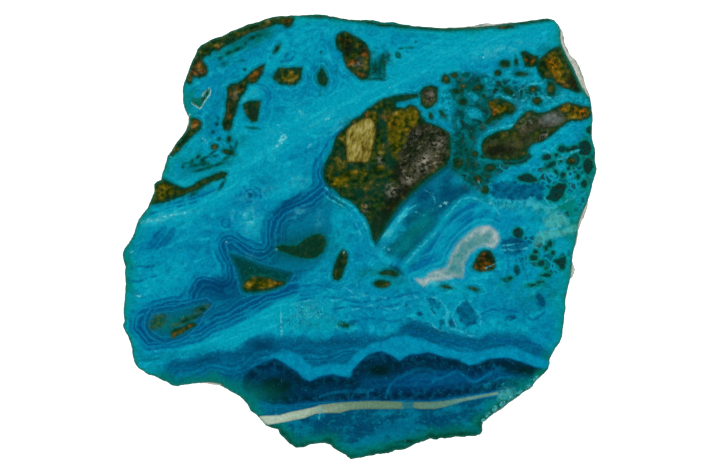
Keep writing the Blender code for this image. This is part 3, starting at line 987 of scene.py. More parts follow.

# %% [markdown]
# ## The hollow and the finest marks
#
# Right of the heart-shaped clast the stone lined a hollow in layers, and their outlines nest in each other.
# The white spots are small crystals and chips, in part their own white and in part painted glints. The hairs
# are pale threads, and the ink lines are thin dark layers. Open lines are enough for the last two, as they
# are no wider than a pen stroke.

# %% The blue lobe, the chalcedony and the pale patches
BLUE_LOBE = """
lobe: 374,240 380,232 386,222 393,210 402,199 412,189 420,181 430,173 440,166 451,160 456,170 461,180
    468,187 476,194 485,203 492,212 499,222 483,226 470,232 460,241 451,254 447,264 436,270 424,279 412,282
    400,274 385,264 376,254
"""
BRIGHT_WEDGE = """
wedge: 378,244 384,240 391,236 394,228 400,220 407,215 409,206 404,209 398,216 390,225 384,233
"""
LOBE_BAND = "band: 402,266 413,256 425,244 437,230 447,215 456,205 466,198.5 478,197.5 488,205"
TEAL_BODY = """
body: 385,250 390,243 396,236 402,226 408,214 414,204 422,197 432,191 448,183 462,184 471,190 476,197
    466,202 456,207 448,216 440,230 430,243 418,255 408,264 398,262 388,256
"""
CHALCEDONY = """
comma: 483,226 490,226 496,231 499,238 498,243 494,248 484,246 477,248 472,252 467,258 464,264 463,277
    455,277 448,279 440,280 430,281 427,284 424,287 419,283 416,279 424,279 430,273 438,270 446,268 449,262
    451,255 455,248 460,241 468,234 476,228
"""
AQUA = """
patch: 543,219 550,216 557,213 563,212 567,218 568,224 560,227 552,229 545,227
quartz_grey: 533,240 540,232 550,229 560,230 570,227 580,224 584,228 572,233 560,236 550,238 544,244 538,248
    533,246
vein_end: 498,391 506,389 514,390 516,396 506,398 499,399
"""
# White crystals and chips, partly painted glints where they would catch the light.
WHITE_AND_GLINT_SPOTS = """
281,318,0.9,7,0 281.5,331,0.9,5,0 282,139,2.6,5,-25 187,118,1.8,5,-35 536,379,3.4,2,45 528,387,3,2.2,45
520,393,3.6,2.2,40 511,398,3,2.2,35 503,404,3.6,2.4,40 495,409,3,2.2,40 488,415,3,2.4,50 484,421,2.2,2.6,0
283,136,2.4,1.6,40 286,138,1.6,2.2,0 281,142,1.4,2.8,20 277,146,1.4,1.4,0 280,133,1.4,1,0
300,112,2.4,0.9,-50 171,157,3.6,0.9,-20 205,141,3.4,0.7,-45 172,215,20,0.6,10 152,221,8,0.9,10
158,219,4,0.7,0 328,119,2.4,0.9,20 139,296,4,0.7,-10 132,252,1.4,0.8,0 338,327,2.4,0.8,0 490,203,2,1.4,-40
446,203,2.4,1.2,10 440,206,1,1,0 559,26,1.2,5,20 561.5,33,1,4,25 557,19,3,0.9,0 276,250,1,1,0
484,57,2.6,0.9,0 390,88,1,0.8,0 278,125,1.6,0.6,-40 310,145,3,1,50 536,384,2.4,0.9,40 528,392,2.4,0.9,50
520,398,2,1,35 511,402,2.4,1,40 503,409,2.4,0.9,45 495,414,2.2,1,40 487,420,1.6,1,60 541,378,1.8,0.8,60
533,389,1,1,0 515,403,1,1,0 483,427,1,2,0 344,253,1.2,1.2,0 245,215,1.2,4,10 250,222,4,0.8,0 226,242,0.8,2,0
384,248,1,1,0 389,249,1,1,0
"""
HAIRS = """
crack_line: 280.5,312 281,320 282,328 282,336
wedge_edge: 384,240 391,236 394,228 400,220 404,214 411,208 418,204
lobe_lines: 404,265 415,253 425,243 435,233 443,220 452,210 460,200 470,197 480,200 488,207
heart_side: 325,188 332,194.5 342,200.5 351,205.5 358,213 363,221 368,231 371,240
heart_side_b: 320,190 329,199 341,205.5 348,210 354,219 358,229 363,240
from_the_quartz: 276,408 275,418 277,426
from_the_quartz_b: 319,400 320,410 319,418
right_curve: 478,181 484,192 489,199 494,206 500,216
cell_a: 543,219 550,216 557,213 563,212 567,218 568,224 560,227 552,229 545,227 543,219
net_a: 541,150 548,152 556,160 566,158 572,152 580,150
net_b: 556,160 558,168 566,172 576,170
net_c: 540,170 548,172 556,176 552,182
net_d: 543,196 550,205 560,206 568,200 576,196
net_e: 566,172 572,180 570,190
net_f: 530,198 540,204 548,208 556,208
blob_light: 501,246 515,244 529,243
blob_light_b: 502,250 514,250 527,248
diamond_wall: 461,302 456,308 452,316 458,330 470,336 480,336
diamond_wall_b: 470,301 476,308 481,318 480,328
white_arc: 415,319 424,320 431,323 437,329 444,331
poly_wall: 425,297 436,297 444,304 448,312 444,318 436,318 430,310 425,303 425,297
poly_wall_b: 450,312 446,320 449,329 458,330
lens_wall: 404,296 412,294 418,297 412,299 404,299
breccia_vein: 485,137 489,131 500,128 511,126 517,119 521,111 522,101
breccia_vein_b: 522,101 514,99 506,97 497,95
breccia_vein_c: 522,101 530,96 540,96 552,98 566,94
breccia_vein_d: 514,95 520,90 530,84 542,83
wall_of_lens: 486,268 500,262 512,258
low_left: 150,345 156,352
lobe_circle: 425,190 432,194 435,202 432,211 424,215 416,212
flow_a: 290,305 310,300 330,301 350,297 370,296 390,299
flow_b: 340,285 352,292 370,296
flow_c: 352,310 372,305 392,309 412,306
"""
INK_LINES = """
leaf: 147,248 151,241 156,234 163,229 166,228 163,234 157,242 151,248 147,248
leaf_b: 158,248 163,240 168,234 173,228 175,231 170,239 163,246 158,248
left_a: 153,207 162,206 175,203 185,200 195,198 206,194 215,190
left_b: 150,214 165,209 180,206 196,202
ring: 222,221 225,218.5 229,219.5 230.5,223 229,226 225,227 222,225 222,221
ring_b: 244,195 247,190 252,189 256,193 256,198 252,202 247,201 244,195
ring_c: 240,195 244,187 252,185 260,190 261,198
corner: 261,228 262,240 256,240
diamond_faint: 281,62 286,55 293,51 296,53 291,60 286,61 281,62
hook: 258,84 266,86 270,92 270,98 267,104
hook_b: 262,88 266,92 266,98
u_shape: 523,311 527,317 532,320 538,318 545,312
shelf: 480,315 490,310 505,309 518,312
left_low: 131,268 140,266 150,268 158,264 164,262
left_low_b: 128,280 138,282 148,278 156,276
under_band: 485,337 500,341 520,341 540,345
under_band_b: 405,331 420,333 440,340 460,344 480,345
flow_a: 300,300 320,296 340,298 360,303 380,300 400,296 420,292
flow_b: 330,310 350,306 370,308 390,306 410,302
flow_c: 280,290 300,286 320,285 340,290
flow_d: 352,322 372,318 392,322 410,318
heart_top: 345,126 330,140 322,152 318,160
"""

for name, outlines in (
    ("lobe", BLUE_LOBE), ("wedge", BRIGHT_WEDGE), ("teal_body", TEAL_BODY), ("chalcedony", CHALCEDONY),
    ("aqua", AQUA),
):
    fields[name] = patches(points, outlines)
fields["white"] = patches(points, "", WHITE_AND_GLINT_SPOTS)
for name, lines in (("lobe_band", LOBE_BAND), ("hairs", HAIRS), ("ink", INK_LINES)):
    fields[name] = strokes(points, lines)
print("fields so far:", len(fields))

# %% [markdown]
# ## Shades without an edge
#
# The stone is a little see-through, so much of its colour has no edge at all: green stains spread out
# from the rock, the blue deepens where the layer is thick, and pale mist lies over the vein. These are
# soft shades, and so are the crackled patches. The stretches of the rim that wear weathered skin are
# marked by spots.

# %% Soft shades, the bright vein and the skin
FOREST_SHADE = """
383,122,3.4,11,8,1 386,142,3.4,10,12,0.9 390,160,3.4,10,14,0.9 369,166,2,8,-8,0.8 380,188,12,10,0,0.9
340,152,6,6,0,0.8 330,162,4,10,0,0.6 362,196,12,6,-40,0.9 352,166,8,4,0,0.7 340,202,10,5,-40,0.8
400,98,16,3,5,0.9 347,122,8,4,30,0.5 463,152,12,16,0,0.9 455,122,5,12,0,0.7 470,104,10,6,0,0.6
497,88,10,4,0,0.5 509,90,6,5,0,0.6 488,170,10,10,0,0.6 476,136,6,8,0,0.7 240,41,22,6,25,0.6
262,33,12,5,25,0.6 224,64,5,3.4,10,0.9 325,78,3,8,0,0.6 252,111,6,9,0,0.6 300,248,32,16,10,1
318,240,9,9,0,0.7 200,308,10,4,20,0.6 246,262,14,6,-20,0.4 321,77,6,10,0,1 226,162,9,4,20,0.6
203,165,9,5,10,0.6 214,172,6,3,30,0.5 232,153,4,7,0,0.4 190,168,8,3,10,0.4 206,184,10,4,25,0.6
378,226,10,16,-10,0.6 388,272,12,5,0,0.8 524,178,9,4,0,0.6 516,62,3,5,0,0.5 545,50,8,6,20,0.6
340,262,6,12,10,0.4 572,62,3,16,-28,0.7 520,74,12,3,0,0.6 506,64,9,6,0,0.4 452,78,10,6,0,0.4
551,90,5,8,0,0.5 480,88,9,5,0,0.4 535,98,8,7,0,0.3 366,70,10,12,20,0.3 380,62,5,9,0,0.6 286,77,18,10,0,0.25
228,106,8,20,10,0.3 198,60,10,20,30,0.2 450,434,40,4,5,0.6
"""
PALE_FLECKS = """
424,163,6,9,-35,0.9 438,143,8,5,35,0.5 408,180,5,4,0,0.7 391,190,5,6,0,0.6 381,161,5,3,-30,0.6
366,208,2.4,4,-30,0.7 358,63,4,5,0,0.4 552,119,10,5,25,0.6 545,136,12,3,25,0.6 526,122,8,6,30,0.4
196,73,6,2.4,0,0.5 344,252,2,2,0,0.8 414,135,8,5,30,0.3 431,95,6,5,0,0.4 463,158,3,3,0,0.3 236,96,3,6,0,0.3
"""
GREY_GLASS = """
549,118,7,5,20,0.9 558,120,6,4,0,0.6
"""
NET_SHADE = """
568,165,26,22,0,1 552,178,20,12,0,0.8 545,258,24,16,0,1 520,238,16,8,0,0.4 500,85,26,10,0,0.6
470,110,20,14,0,0.35 530,95,24,8,0,0.5 505,168,16,7,0,0.7 545,292,16,10,0,0.5 585,205,10,24,0,0.6
560,214,16,8,0,0.4
"""
MILK_SHADE = """
484,230,9,4,20,0.9 495,237,4,7,-15,1 490,246,6,3,10,0.5 470,237,9,2,42,0.7 457,250,7,2,60,0.5
442,276,14,4,-14,0.7 429,281,9,4,-10,0.9 418,281,4,3,0,0.5
"""
GREEN_GLOW = """
165,160,26,18,20,0.35 188,108,8,22,0,0.35 206,168,26,10,20,0.4 128,262,7,22,0,0.4 200,130,14,10,0,0.2
262,36,14,7,25,0.9 232,50,22,8,25,0.8 190,96,6,8,0,0.8 318,244,8,12,0,0.7 322,215,5,20,-5,0.5
505,285,14,8,0,0.4 530,300,18,9,0,0.4 575,215,12,10,0,0.7 590,180,8,25,0,0.6 562,300,12,20,0,0.4
556,378,10,12,0,0.9 530,384,18,6,-5,0.6 197,160,14,8,30,0.5 160,320,14,9,15,0.6 196,310,14,5,20,0.4
268,396,14,12,0,0.2 233,386,14,6,0,0.6 252,396,10,8,0,0.6 330,200,4,20,0,0.4 460,170,8,8,0,0.4
404,246,12,10,30,0.5 240,140,10,10,0,0.4 424,224,12,9,45,0.5 562,205,26,22,0,0.9 575,232,14,12,0,0.7
370,275,22,7,0,0.5 320,325,20,5,0,0.3 412,232,14,6,45,0.5 548,290,22,10,0,0.5 128,285,6,60,0,0.45
150,375,20,8,-30,0.6 395,280,18,10,0,0.3 400,448,80,8,5,0.7 330,445,40,10,-10,0.5 500,90,30,12,0,0.3
590,225,8,20,0,0.6 210,115,4,14,0,0.3
"""
BLUE_SHADE = """
158,358,24,7,12,0.9 190,352,20,3,12,0.7 140,350,6,14,0,0.7 515,305,34,10,0,0.4 545,330,16,10,0,0.6
300,205,22,12,30,0.6 245,200,14,9,0,0.5 525,315,30,14,0,0.4 160,240,14,10,-20,0.3 213,118,6,20,0,0.4
195,195,20,4,18,0.8 175,152,12,6,25,0.3 330,345,60,12,0,0.4 180,295,30,10,0,0.4 290,290,16,10,20,0.5
440,240,20,14,35,0.6 155,238,11,4,56,1 167,238,12,4,53,1 156,260,2.4,2.4,0,0.9 148,267,5,1.6,10,0.8
209,245,4,26,0,0.6 137,233,4,7,0,0.7 278.5,112,3,5,0,0.9 247,43,8,3.6,10,0.9 142,275,16,3,15,0.5
175,200,30,4,15,0.5 196,168,10,3,20,0.6 345,300,30,8,0,0.3 470,345,60,8,0,0.5 247,43,14,6,20,0.6
225,75,16,5,20,0.4 270,180,14,8,20,0.5 255,170,20,5,30,0.3 470,235,10,6,40,0.4 145,262,14,8,10,0.4
320,300,20,8,10,0.3 360,270,10,20,0,0.3 395,276,16,10,0,0.7 330,285,26,5,-10,0.6 372,318,24,5,-10,0.6
300,325,24,5,-10,0.4 425,300,22,10,0,0.5
"""
NIGHT_SHADE = """
424,194,16,7,42,0.9 446,178,14,8,40,0.8 285,205,24,4.5,32,0.9 213,286,20,8,10,0.8 226,290,14,12,0,1
320,425,16,10,0,0.5 366,425,14,8,0,0.4 448,194,12,8,10,0.7 380,370,18,9,0,0.9 276,386,24,13,0,0.95
524,370,22,6,-5,0.8 425,366,24,7,0,0.5 460,192,16,8,30,0.4 480,362,30,6,0,0.4 340,386,40,8,0,0.4
450,434,30,4,5,0.5 262,345,15,9,20,1 200,361,22,4,12,0.6 330,343,30,4,0,0.5 420,330,24,5,-10,0.6
350,430,24,6,0,0.6 395,425,18,6,0,0.5 436,420,14,6,0,0.5
"""
MIST = """
250,218,7,14,0,0.6 275,140,8,8,0,0.4 250,257,6,4,0,0.3 300,212,9,5,30,0.3 319,222,4,10,0,0.3
160,218,25,5,10,0.5 305,312,24,9,0,0.4 508,204,14,4,0,0.8 540,208,20,4,-20,0.5 430,282,20,3,-10,0.6
300,180,10,6,0,0.4 390,240,8,14,-50,0.3 260,192,18,4,10,0.3 300,112,10,5,-40,0.3 340,125,10,4,30,0.5
500,50,24,5,15,0.3 545,100,12,3,-10,0.5 250,96,12,3,30,0.3 320,120,16,4,30,0.3 235,215,5,5,0,0.3
"""
CRACKLE = """
308,312,20,8,0,1 292,322,10,8,0,0.7 250,215,5,8,0,0.6 340,326,6,4,0,0.6 500,385,24,6,5,0.4
530,386,14,5,40,0.9 507,404,16,5,40,0.9 490,418,10,4,50,0.8 386,249,5,4,0,0.5 560,24,3,8,20,0.8
"""
CRACK_LIP = """
lower: 192,103 196,106 199.5,108.5 201.5,107 203.5,102.5 206.5,98.5 209.5,94.5 210.5,91 209,88
upper: 202,96.5 204,93 206,90.5
"""
BRIGHT_VEIN = """
vein: 150,206 200,192 240,168 265,142 300,125 340,105 380,82 430,58 480,42 530,32 555,28
"""
SKIN_SPOTS = """
500,18,62,8,4 575,58,16,44,22 592,104,8,26,0 588,226,14,34,-12 577,270,6,14,0 212,386,22,8,-15
512,404,38,9,32 300,18,24,5,-4 126,275,4,60,0 190,112,8,14,0
"""

for name, rows in (
    ("forest", FOREST_SHADE), ("flecks", PALE_FLECKS), ("grey_glass", GREY_GLASS), ("net", NET_SHADE),
    ("milk", MILK_SHADE), ("green_glow", GREEN_GLOW), ("blue_shade", BLUE_SHADE),
    ("night_shade", NIGHT_SHADE), ("mist", MIST), ("crackle", CRACKLE),
):
    fields[name] = soft_shade(points, rows)
fields["bright_vein"] = strokes(points, BRIGHT_VEIN)
fields["skin"] = patches(points, "", SKIN_SPOTS)
fields["crack"] = outline_distance(points, CRACK_MOUTH)
fields["lip"] = strokes(points, CRACK_LIP)

for name, values in fields.items():
    attribute = slab.data.attributes.new(name, "FLOAT", "POINT")
    attribute.data.foreach_set("value", values.astype(np.float32))
print(len(fields), "fields on", len(points), "vertices")

# %% [markdown]
# ## A paint box
#
# A material made of many layers is easier to read as a recipe than as a pile of nodes. This helper fills
# a node tree: each of its methods adds a node or two and gives back the socket to go on with. Sizes are
# in millimetres, read from Object coordinates, so the grain runs on round the edge and through to the
# back.
#
# Colours are written as an eye reads them off a screen, from 0 to 255. A shader wants the light that a
# surface sends back, so each is turned into that, and dimmed a little, because the lamps and the gloss
# brighten it.

# %% The paint box
STONE_GAIN = 0.78


def paint(red, green, blue):
    """A colour as an eye reads it off a screen, 0 to 255, as the light that a surface sends back."""
    shares = [value / 255 for value in (red, green, blue)]
    light = [s / 12.92 if s <= 0.04045 else ((s + 0.055) / 1.055) ** 2.4 for s in shares]
    return [value * STONE_GAIN for value in light] + [1.0]


class PaintBox:
    """A node tree that is being filled."""

    def __init__(self, tree):
        self.tree = tree
        where = self.node("ShaderNodeTexCoord").outputs["Object"]
        scale = self.node("ShaderNodeVectorMath", operation="SCALE")
        self.feed(scale.inputs[0], where)
        self.feed(scale.inputs["Scale"], 1 / MM)
        self.place = scale.outputs[0]

    def node(self, kind, **settings):
        made = self.tree.nodes.new(kind)
        for setting, value in settings.items():
            setattr(made, setting, value)
        return made

    def feed(self, socket, value):
        """Links a socket to another one, or sets it to a plain number or colour."""
        if isinstance(value, bpy.types.NodeSocket):
            self.tree.links.new(value, socket)
        else:
            socket.default_value = value

    def feed_all(self, sockets, values):
        for socket, value in zip(sockets, values):
            self.feed(socket, value)

    def field(self, name):
        return self.node("ShaderNodeAttribute", attribute_name=name).outputs["Fac"]

    def sum(self, operation, *values):
        made = self.node("ShaderNodeMath", operation=operation)
        self.feed_all(made.inputs, values)
        return made.outputs[0]

    def add(self, first, second):
        return self.sum("ADD", first, second)

    def times(self, first, second):
        return self.sum("MULTIPLY", first, second)

    def fade(self, value, start, end, low=0.0, high=1.0):
        """A soft step from low, where the value is at start, to high, where it is at end."""
        made = self.node("ShaderNodeMapRange", interpolation_type="SMOOTHSTEP")
        self.feed_all(made.inputs, (value, start, end, low, high))
        return made.outputs[0]

    def grain(self, size, detail=2.0, rough=0.5, stretch=1.0, turn=0.0, away=0.0):
        """Noise about 0.5 with lumps of this many millimetres, stretched along a direction in degrees."""
        mapping = self.node("ShaderNodeMapping", vector_type="TEXTURE")
        self.feed(mapping.inputs["Vector"], self.place)
        self.feed(mapping.inputs["Location"], (away, away, away))
        self.feed(mapping.inputs["Rotation"], (0, 0, math.radians(turn)))
        self.feed(mapping.inputs["Scale"], (size * stretch, size, size))
        made = self.node("ShaderNodeTexNoise", noise_dimensions="3D")
        self.feed(made.inputs["Vector"], mapping.outputs[0])
        for name, value in (("Scale", 1.0), ("Detail", detail), ("Roughness", rough)):
            self.feed(made.inputs[name], value)
        return made.outputs["Fac"]

    def centred(self, size, detail=2.0, rough=0.5, stretch=1.0, turn=0.0, away=0.0):
        """The same noise, about 0."""
        return self.add(self.grain(size, detail, rough, stretch, turn, away), -0.5)

    def lines_along(self, value, size):
        """Noise that changes only with one value, so it draws lines where that value is the same."""
        made = self.node("ShaderNodeTexNoise", noise_dimensions="1D")
        self.feed(made.inputs["W"], value)
        self.feed(made.inputs["Scale"], 1 / size)
        self.feed(made.inputs["Detail"], 2.0)
        return made.outputs["Fac"]

    def cells(self, size, bend):
        """A net of cells about this many millimetres wide: how far its walls are, and a chance for each."""
        noise_about = self.node("ShaderNodeTexNoise", noise_dimensions="3D")
        self.feed(noise_about.inputs["Vector"], self.place)
        self.feed(noise_about.inputs["Scale"], 1 / (size * 1.5))
        offset = self.node("ShaderNodeVectorMath", operation="MULTIPLY_ADD")
        self.feed_all(offset.inputs, (noise_about.outputs["Color"], (bend, bend, bend), self.place))
        walls = self.node("ShaderNodeTexVoronoi", feature="DISTANCE_TO_EDGE")
        pieces = self.node("ShaderNodeTexVoronoi", feature="F1")
        for made in (walls, pieces):
            self.feed(made.inputs["Vector"], offset.outputs[0])
            self.feed(made.inputs["Scale"], 1 / size)
        return walls.outputs["Distance"], pieces.outputs["Color"]

    def ramp(self, value, stops):
        """Colours at values, each written value:red,green,blue, with an even change from one to the next."""
        marks = [word.split(":") for word in stops.split()]
        places = [float(at) for at, _ in marks]
        low, high = places[0], places[-1]
        spread_out = self.node("ShaderNodeMapRange")
        self.feed_all(spread_out.inputs, (value, low, high, 0.0, 1.0))
        made = self.node("ShaderNodeValToRGB")
        elements = made.color_ramp.elements
        while len(elements) < len(marks):
            elements.new(0.5)
        for element, at, (_, colour) in zip(elements, places, marks):
            element.position = (at - low) / (high - low)
            element.color = paint(*[float(part) for part in colour.split(",")])
        self.feed(made.inputs[0], spread_out.outputs[0])
        return made.outputs[0]

    def lay(self, under, over, share, thickness=1.0):
        """One colour laid over another, where the share says, and thinner than full cover if need be."""
        if thickness < 1.0:
            share = self.times(share, thickness)
        made = self.node("ShaderNodeMix", data_type="RGBA", blend_type="MIX")
        self.feed(made.inputs[0], share)
        self.feed(made.inputs[6], under)
        self.feed(made.inputs[7], over)
        return made.outputs[2]

    def coats(self, under, *coats):
        """Several coats over a colour, each a colour, its share and, if the coat is thin, its thickness."""
        for coat in coats:
            under = self.lay(under, *coat)
        return under


TURQUOISE, BRIGHT, MIST_BLUE = paint(0, 160, 186), paint(18, 180, 200), paint(70, 198, 208)
MID_BLUE, DEEP_BLUE, BAND_BLUE = paint(0, 142, 178), paint(0, 106, 146), paint(0, 134, 172)
NAVY, POOL, BLACK_BROWN = paint(0, 58, 98), paint(0, 34, 38), paint(24, 22, 10)
TEAL, SEA_GREEN = paint(0, 150, 152), paint(0, 122, 100)
FOREST, DARK_FOREST = paint(0, 78, 55), paint(0, 46, 34)
CHALCEDONY_PALE, CHALCEDONY_SMOKE = paint(172, 190, 188), paint(64, 140, 144)
print("turquoise as light:", [round(value, 3) for value in TURQUOISE])

# %% [markdown]
# ## The stone's colours
#
# One node group holds the whole picture of the stone, so the polished face, the broken wall and the sawn
# back all show the same markings. It starts with the blue ground and lays one marking after another over
# it, as a painter works from the large to the small. Noise moves every edge a little, because no edge in
# a stone is drawn with a ruler.
#
# The numbers were found by rendering, looking and trying again. In each grain the first is the size of
# its lumps in millimetres, and each fade says between which two values of the noise the coat grows from
# thin to thick.

# %% The blue ground
colours = bpy.data.node_groups.new("stone_colours", "ShaderNodeTree")
colours.interface.new_socket("Colour", in_out="OUTPUT", socket_type="NodeSocketColor")
colours.interface.new_socket("Rock", in_out="OUTPUT", socket_type="NodeSocketFloat")
box = PaintBox(colours)

crinkle = box.centred(0.6, 3.0, 0.6)
ripple = box.centred(2.4)


def moved(name, fine=0.3, broad=0.3):
    """A field with its edges crinkled by two sizes of noise, by at most about these millimetres."""
    return box.add(box.field(name), box.add(box.times(crinkle, fine), box.times(ripple, broad)))


def inside(name, soft=0.12, fine=0.3, broad=0.3):
    """1 inside a marking and 0 outside it, with an edge this many millimetres soft."""
    return box.fade(moved(name, fine, broad), soft, -soft)


green_glow, blue_shade, night = box.field("green_glow"), box.field("blue_shade"), box.field("night_shade")
vein_share = box.fade(box.field("bright_vein"), 5.5, 1.5)
cloud = box.fade(box.grain(8.0, 3.0, 0.5, 1.7, 28), 0.42, 0.62)
mottle = box.fade(box.grain(1.5, 2.2), 0.46, 0.68)
smoke = box.fade(box.grain(4.0, 3.0, 0.55, 1.3, 20, 61), 0.5, 0.66)
streaks = box.fade(box.grain(0.9, 3.0, 0.6, 7.0, 28, 40), 0.5, 0.74)
round_clasts = box.add(box.field("rock"), box.add(box.times(ripple, 2.0), box.times(crinkle, 0.3)))
layers = box.lines_along(round_clasts, 0.5)
layer_share = box.times(box.fade(round_clasts, 5.0, 1.0, 0.15, 0.8), box.fade(box.grain(2.6), 0.36, 0.56))
mist_share = box.times(box.field("mist"), box.fade(box.grain(1.2, 2.5, 0.55), 0.38, 0.66))
rim_wave = box.add(box.field("rim"), box.times(ripple, 2.4))
ground = box.coats(
    MID_BLUE,
    (TURQUOISE, box.sum("MAXIMUM", cloud, vein_share)),
    (DEEP_BLUE, box.times(mottle, box.fade(vein_share, 1.0, 0.0, 0.08, 0.5))),
    (DEEP_BLUE, box.times(smoke, box.fade(vein_share, 1.0, 0.0, 0.02, 0.2))),
    (BRIGHT, box.fade(box.grain(1.7, 3.0, 0.55, 1.4, 25, 71), 0.54, 0.7, 0.0, 0.7)),
    (BRIGHT, box.times(streaks, box.fade(vein_share, 0.0, 1.0, 0.3, 0.85))),
    (BRIGHT, box.times(box.fade(layers, 0.52, 0.68), layer_share)),
    (DEEP_BLUE, box.times(box.fade(layers, 0.46, 0.32), box.times(layer_share, 0.6))),
    (DEEP_BLUE, box.times(blue_shade, box.fade(box.grain(1.4, 3.0), 0.3, 0.6))),
    (MIST_BLUE, mist_share),
    (TEAL, box.fade(rim_wave, 3.2, 0.3, 0.0, 0.5)),
    (SEA_GREEN, box.fade(rim_wave, 1.3, 0.0, 0.0, 0.5)),
    (SEA_GREEN, box.times(green_glow, box.fade(box.grain(1.5, 3.0), 0.25, 0.6))),
)
print("the ground has", len(colours.nodes), "nodes")

# %% [markdown]
# ## Agate bands
#
# The bands are a colour ramp over the distance from their outermost line, in millimetres. Their widths
# are uneven on purpose, because each band is a season of its own, and the distance is bent a little by
# noise. The core of the banded oval at the left greens towards its middle.

# %% Bands in the agate
across_bands = box.add(moved("agate", 0.25, 0.9), box.times(box.centred(5.0), 2.2))
band_colours = box.ramp(across_bands, """
    -1.1:0,160,186 -0.8:0,136,170 -0.5:0,160,186 -0.2:0,138,172 0:0,98,140 0.2:0,100,144 0.45:0,122,160
    0.62:0,116,156 0.76:4,138,170 0.9:0,106,148 1.1:0,88,134 1.38:0,94,138 1.54:6,134,168 1.7:0,94,138
    2:0,78,124 2.3:0,86,132 2.5:0,108,150 2.64:8,132,166 2.8:0,96,140 3.1:0,80,124 3.5:0,96,136
    3.72:6,122,154 3.9:0,92,132 4.4:0,106,142 4.7:0,94,132 5.2:0,118,152
""")
agate_share = box.fade(moved("agate_inside", 0.6, 2.4), 1.2, -0.6)
agate_share = box.times(agate_share, box.fade(across_bands, -0.9, -0.6))
agate_share = box.times(agate_share, box.fade(box.grain(3.0, away=12), 0.25, 0.45, 0.55, 1.0))
core_depth = moved("stadium", 0.2, 0.6)
core_colours = box.ramp(core_depth, """
    -2.6:0,106,106 -1.5:0,100,120 -0.9:0,100,128 -0.7:6,122,148 -0.5:0,102,136 -0.1:0,84,126 0.2:0,90,132
    0.4:10,130,164 0.6:0,100,142 0.9:0,88,134
""")
olive_colour = box.lay(paint(16, 74, 40), paint(58, 88, 30), box.fade(box.grain(0.9, 3.0), 0.4, 0.62))
triangle_depth = moved("triangle", 0.3, 0.5)
green_glass = box.ramp(triangle_depth, """
    -3.2:8,58,26 -1.6:0,56,42 -0.7:0,66,66 -0.2:0,84,104 0.1:0,104,136 0.35:6,124,152 0.6:0,108,144
""")
green_glass = box.lay(green_glass, paint(0, 92, 92), box.fade(box.grain(0.9, 3.0), 0.5, 0.66, 0.0, 0.5))
stripe_smoke = box.times(blue_shade, box.fade(box.grain(1.6, 3.0, 0.6, 2.5, 22, 8), 0.34, 0.6))
stripe_colour = box.coats(
    TURQUOISE,
    (BRIGHT, box.fade(box.grain(0.7, 3.0, 0.6, 6.0, 22), 0.48, 0.7)),
    (paint(0, 106, 132), stripe_smoke),
)
picture = box.coats(
    ground,
    (band_colours, agate_share),
    (MIST_BLUE, box.times(mist_share, box.fade(across_bands, 1.5, 3.0))),
    (core_colours, box.fade(core_depth, 0.95, 0.7, 0.0, 0.85)),
    (olive_colour, box.fade(moved("olive_blob", 0.5, 0.6), 0.6, -0.5, 0.0, 0.85)),
    (paint(0, 60, 102), box.times(night, agate_share), 0.9),
    (green_glass, box.fade(triangle_depth, 0.6, 0.2, 0.0, 0.95)),
    (stripe_colour, inside("stripe", 0.3, 0.2, 0.6)),
)
print("with the bands there are", len(colours.nodes), "nodes")

# %% [markdown]
# ## The deep blue scallops
#
# Along the bottom the last layers grew as rounded lobes into the open space. Their tops are the edge of
# the dark, and what lies under the edge deepens, lightens and deepens again with the distance from it.
# The pale quartz vein cuts through them all and came last.

# %% The deep zone and the lobes
deep = inside("deep", 1.1, 1.2, 2.0)
from_edge = box.add(moved("deep", 0.5, 1.6), box.times(box.centred(5.0, stretch=2.0, away=17), 3.0))
deep_colour = box.coats(
    paint(0, 92, 130),
    (paint(0, 118, 156), box.fade(box.lines_along(from_edge, 0.9), 0.42, 0.64)),
    (paint(0, 78, 114), box.fade(box.grain(1.5, 4.0, 0.65, 1.8, 12, 7), 0.44, 0.66), 0.75),
    (paint(0, 56, 90), night, 0.9),
    # Pale blue flecks over the deep zone: a painted sheen.
    (paint(0, 128, 160), box.fade(box.grain(0.6, 3.0, 0.6, 1.5, 12, 2), 0.56, 0.74, 0.0, 0.5)),
    (SEA_GREEN, box.fade(rim_wave, 2.8, 0.3, 0.0, 0.7)),
    (SEA_GREEN, green_glow, 0.7),
)
pale_colour = box.lay(BAND_BLUE, paint(0, 148, 184), box.fade(box.grain(1.5), 0.4, 0.6))

lobe_depth = moved("lobes", 0.15, 0.5)
lobe_colours = box.ramp(lobe_depth, """
    -6:0,88,134 -5.2:0,70,116 -4.4:0,84,132 -3.8:0,66,112 -3.2:0,78,124 -2.6:0,60,102 -2:0,50,86
    -1.3:0,38,66 -0.8:0,38,62 -0.4:0,48,80 -0.1:0,72,114 0.15:0,112,156
""")
blur = box.add(box.add(box.times(night, 0.5), box.times(green_glow, 1.5)), 0.14)
arc_gaps = box.fade(box.grain(1.6, 3.0), 0.3, 0.6, 0.2, 0.6)
in_the_dark = box.times(night, box.fade(box.grain(1.6, 3.0), 0.2, 0.5, 0.8, 1.3))
in_the_dark = box.sum("MINIMUM", in_the_dark, 1.0)
lobe_colour = box.coats(
    lobe_colours,
    (paint(0, 98, 134), box.fade(box.grain(1.2, 4.0, 0.65, away=3), 0.42, 0.68), 0.5),
    (paint(0, 124, 168), box.times(box.fade(moved("arcs", 0.16, 0.4), 0.5, 0.0), arc_gaps)),
    (POOL, in_the_dark),
    (DARK_FOREST, box.times(in_the_dark, box.fade(ripple, 0.0, 0.15, 0.0, 0.3))),
    (SEA_GREEN, box.fade(rim_wave, 2.2, 0.2, 0.0, 0.8)),
    (SEA_GREEN, green_glow, 0.8),
)
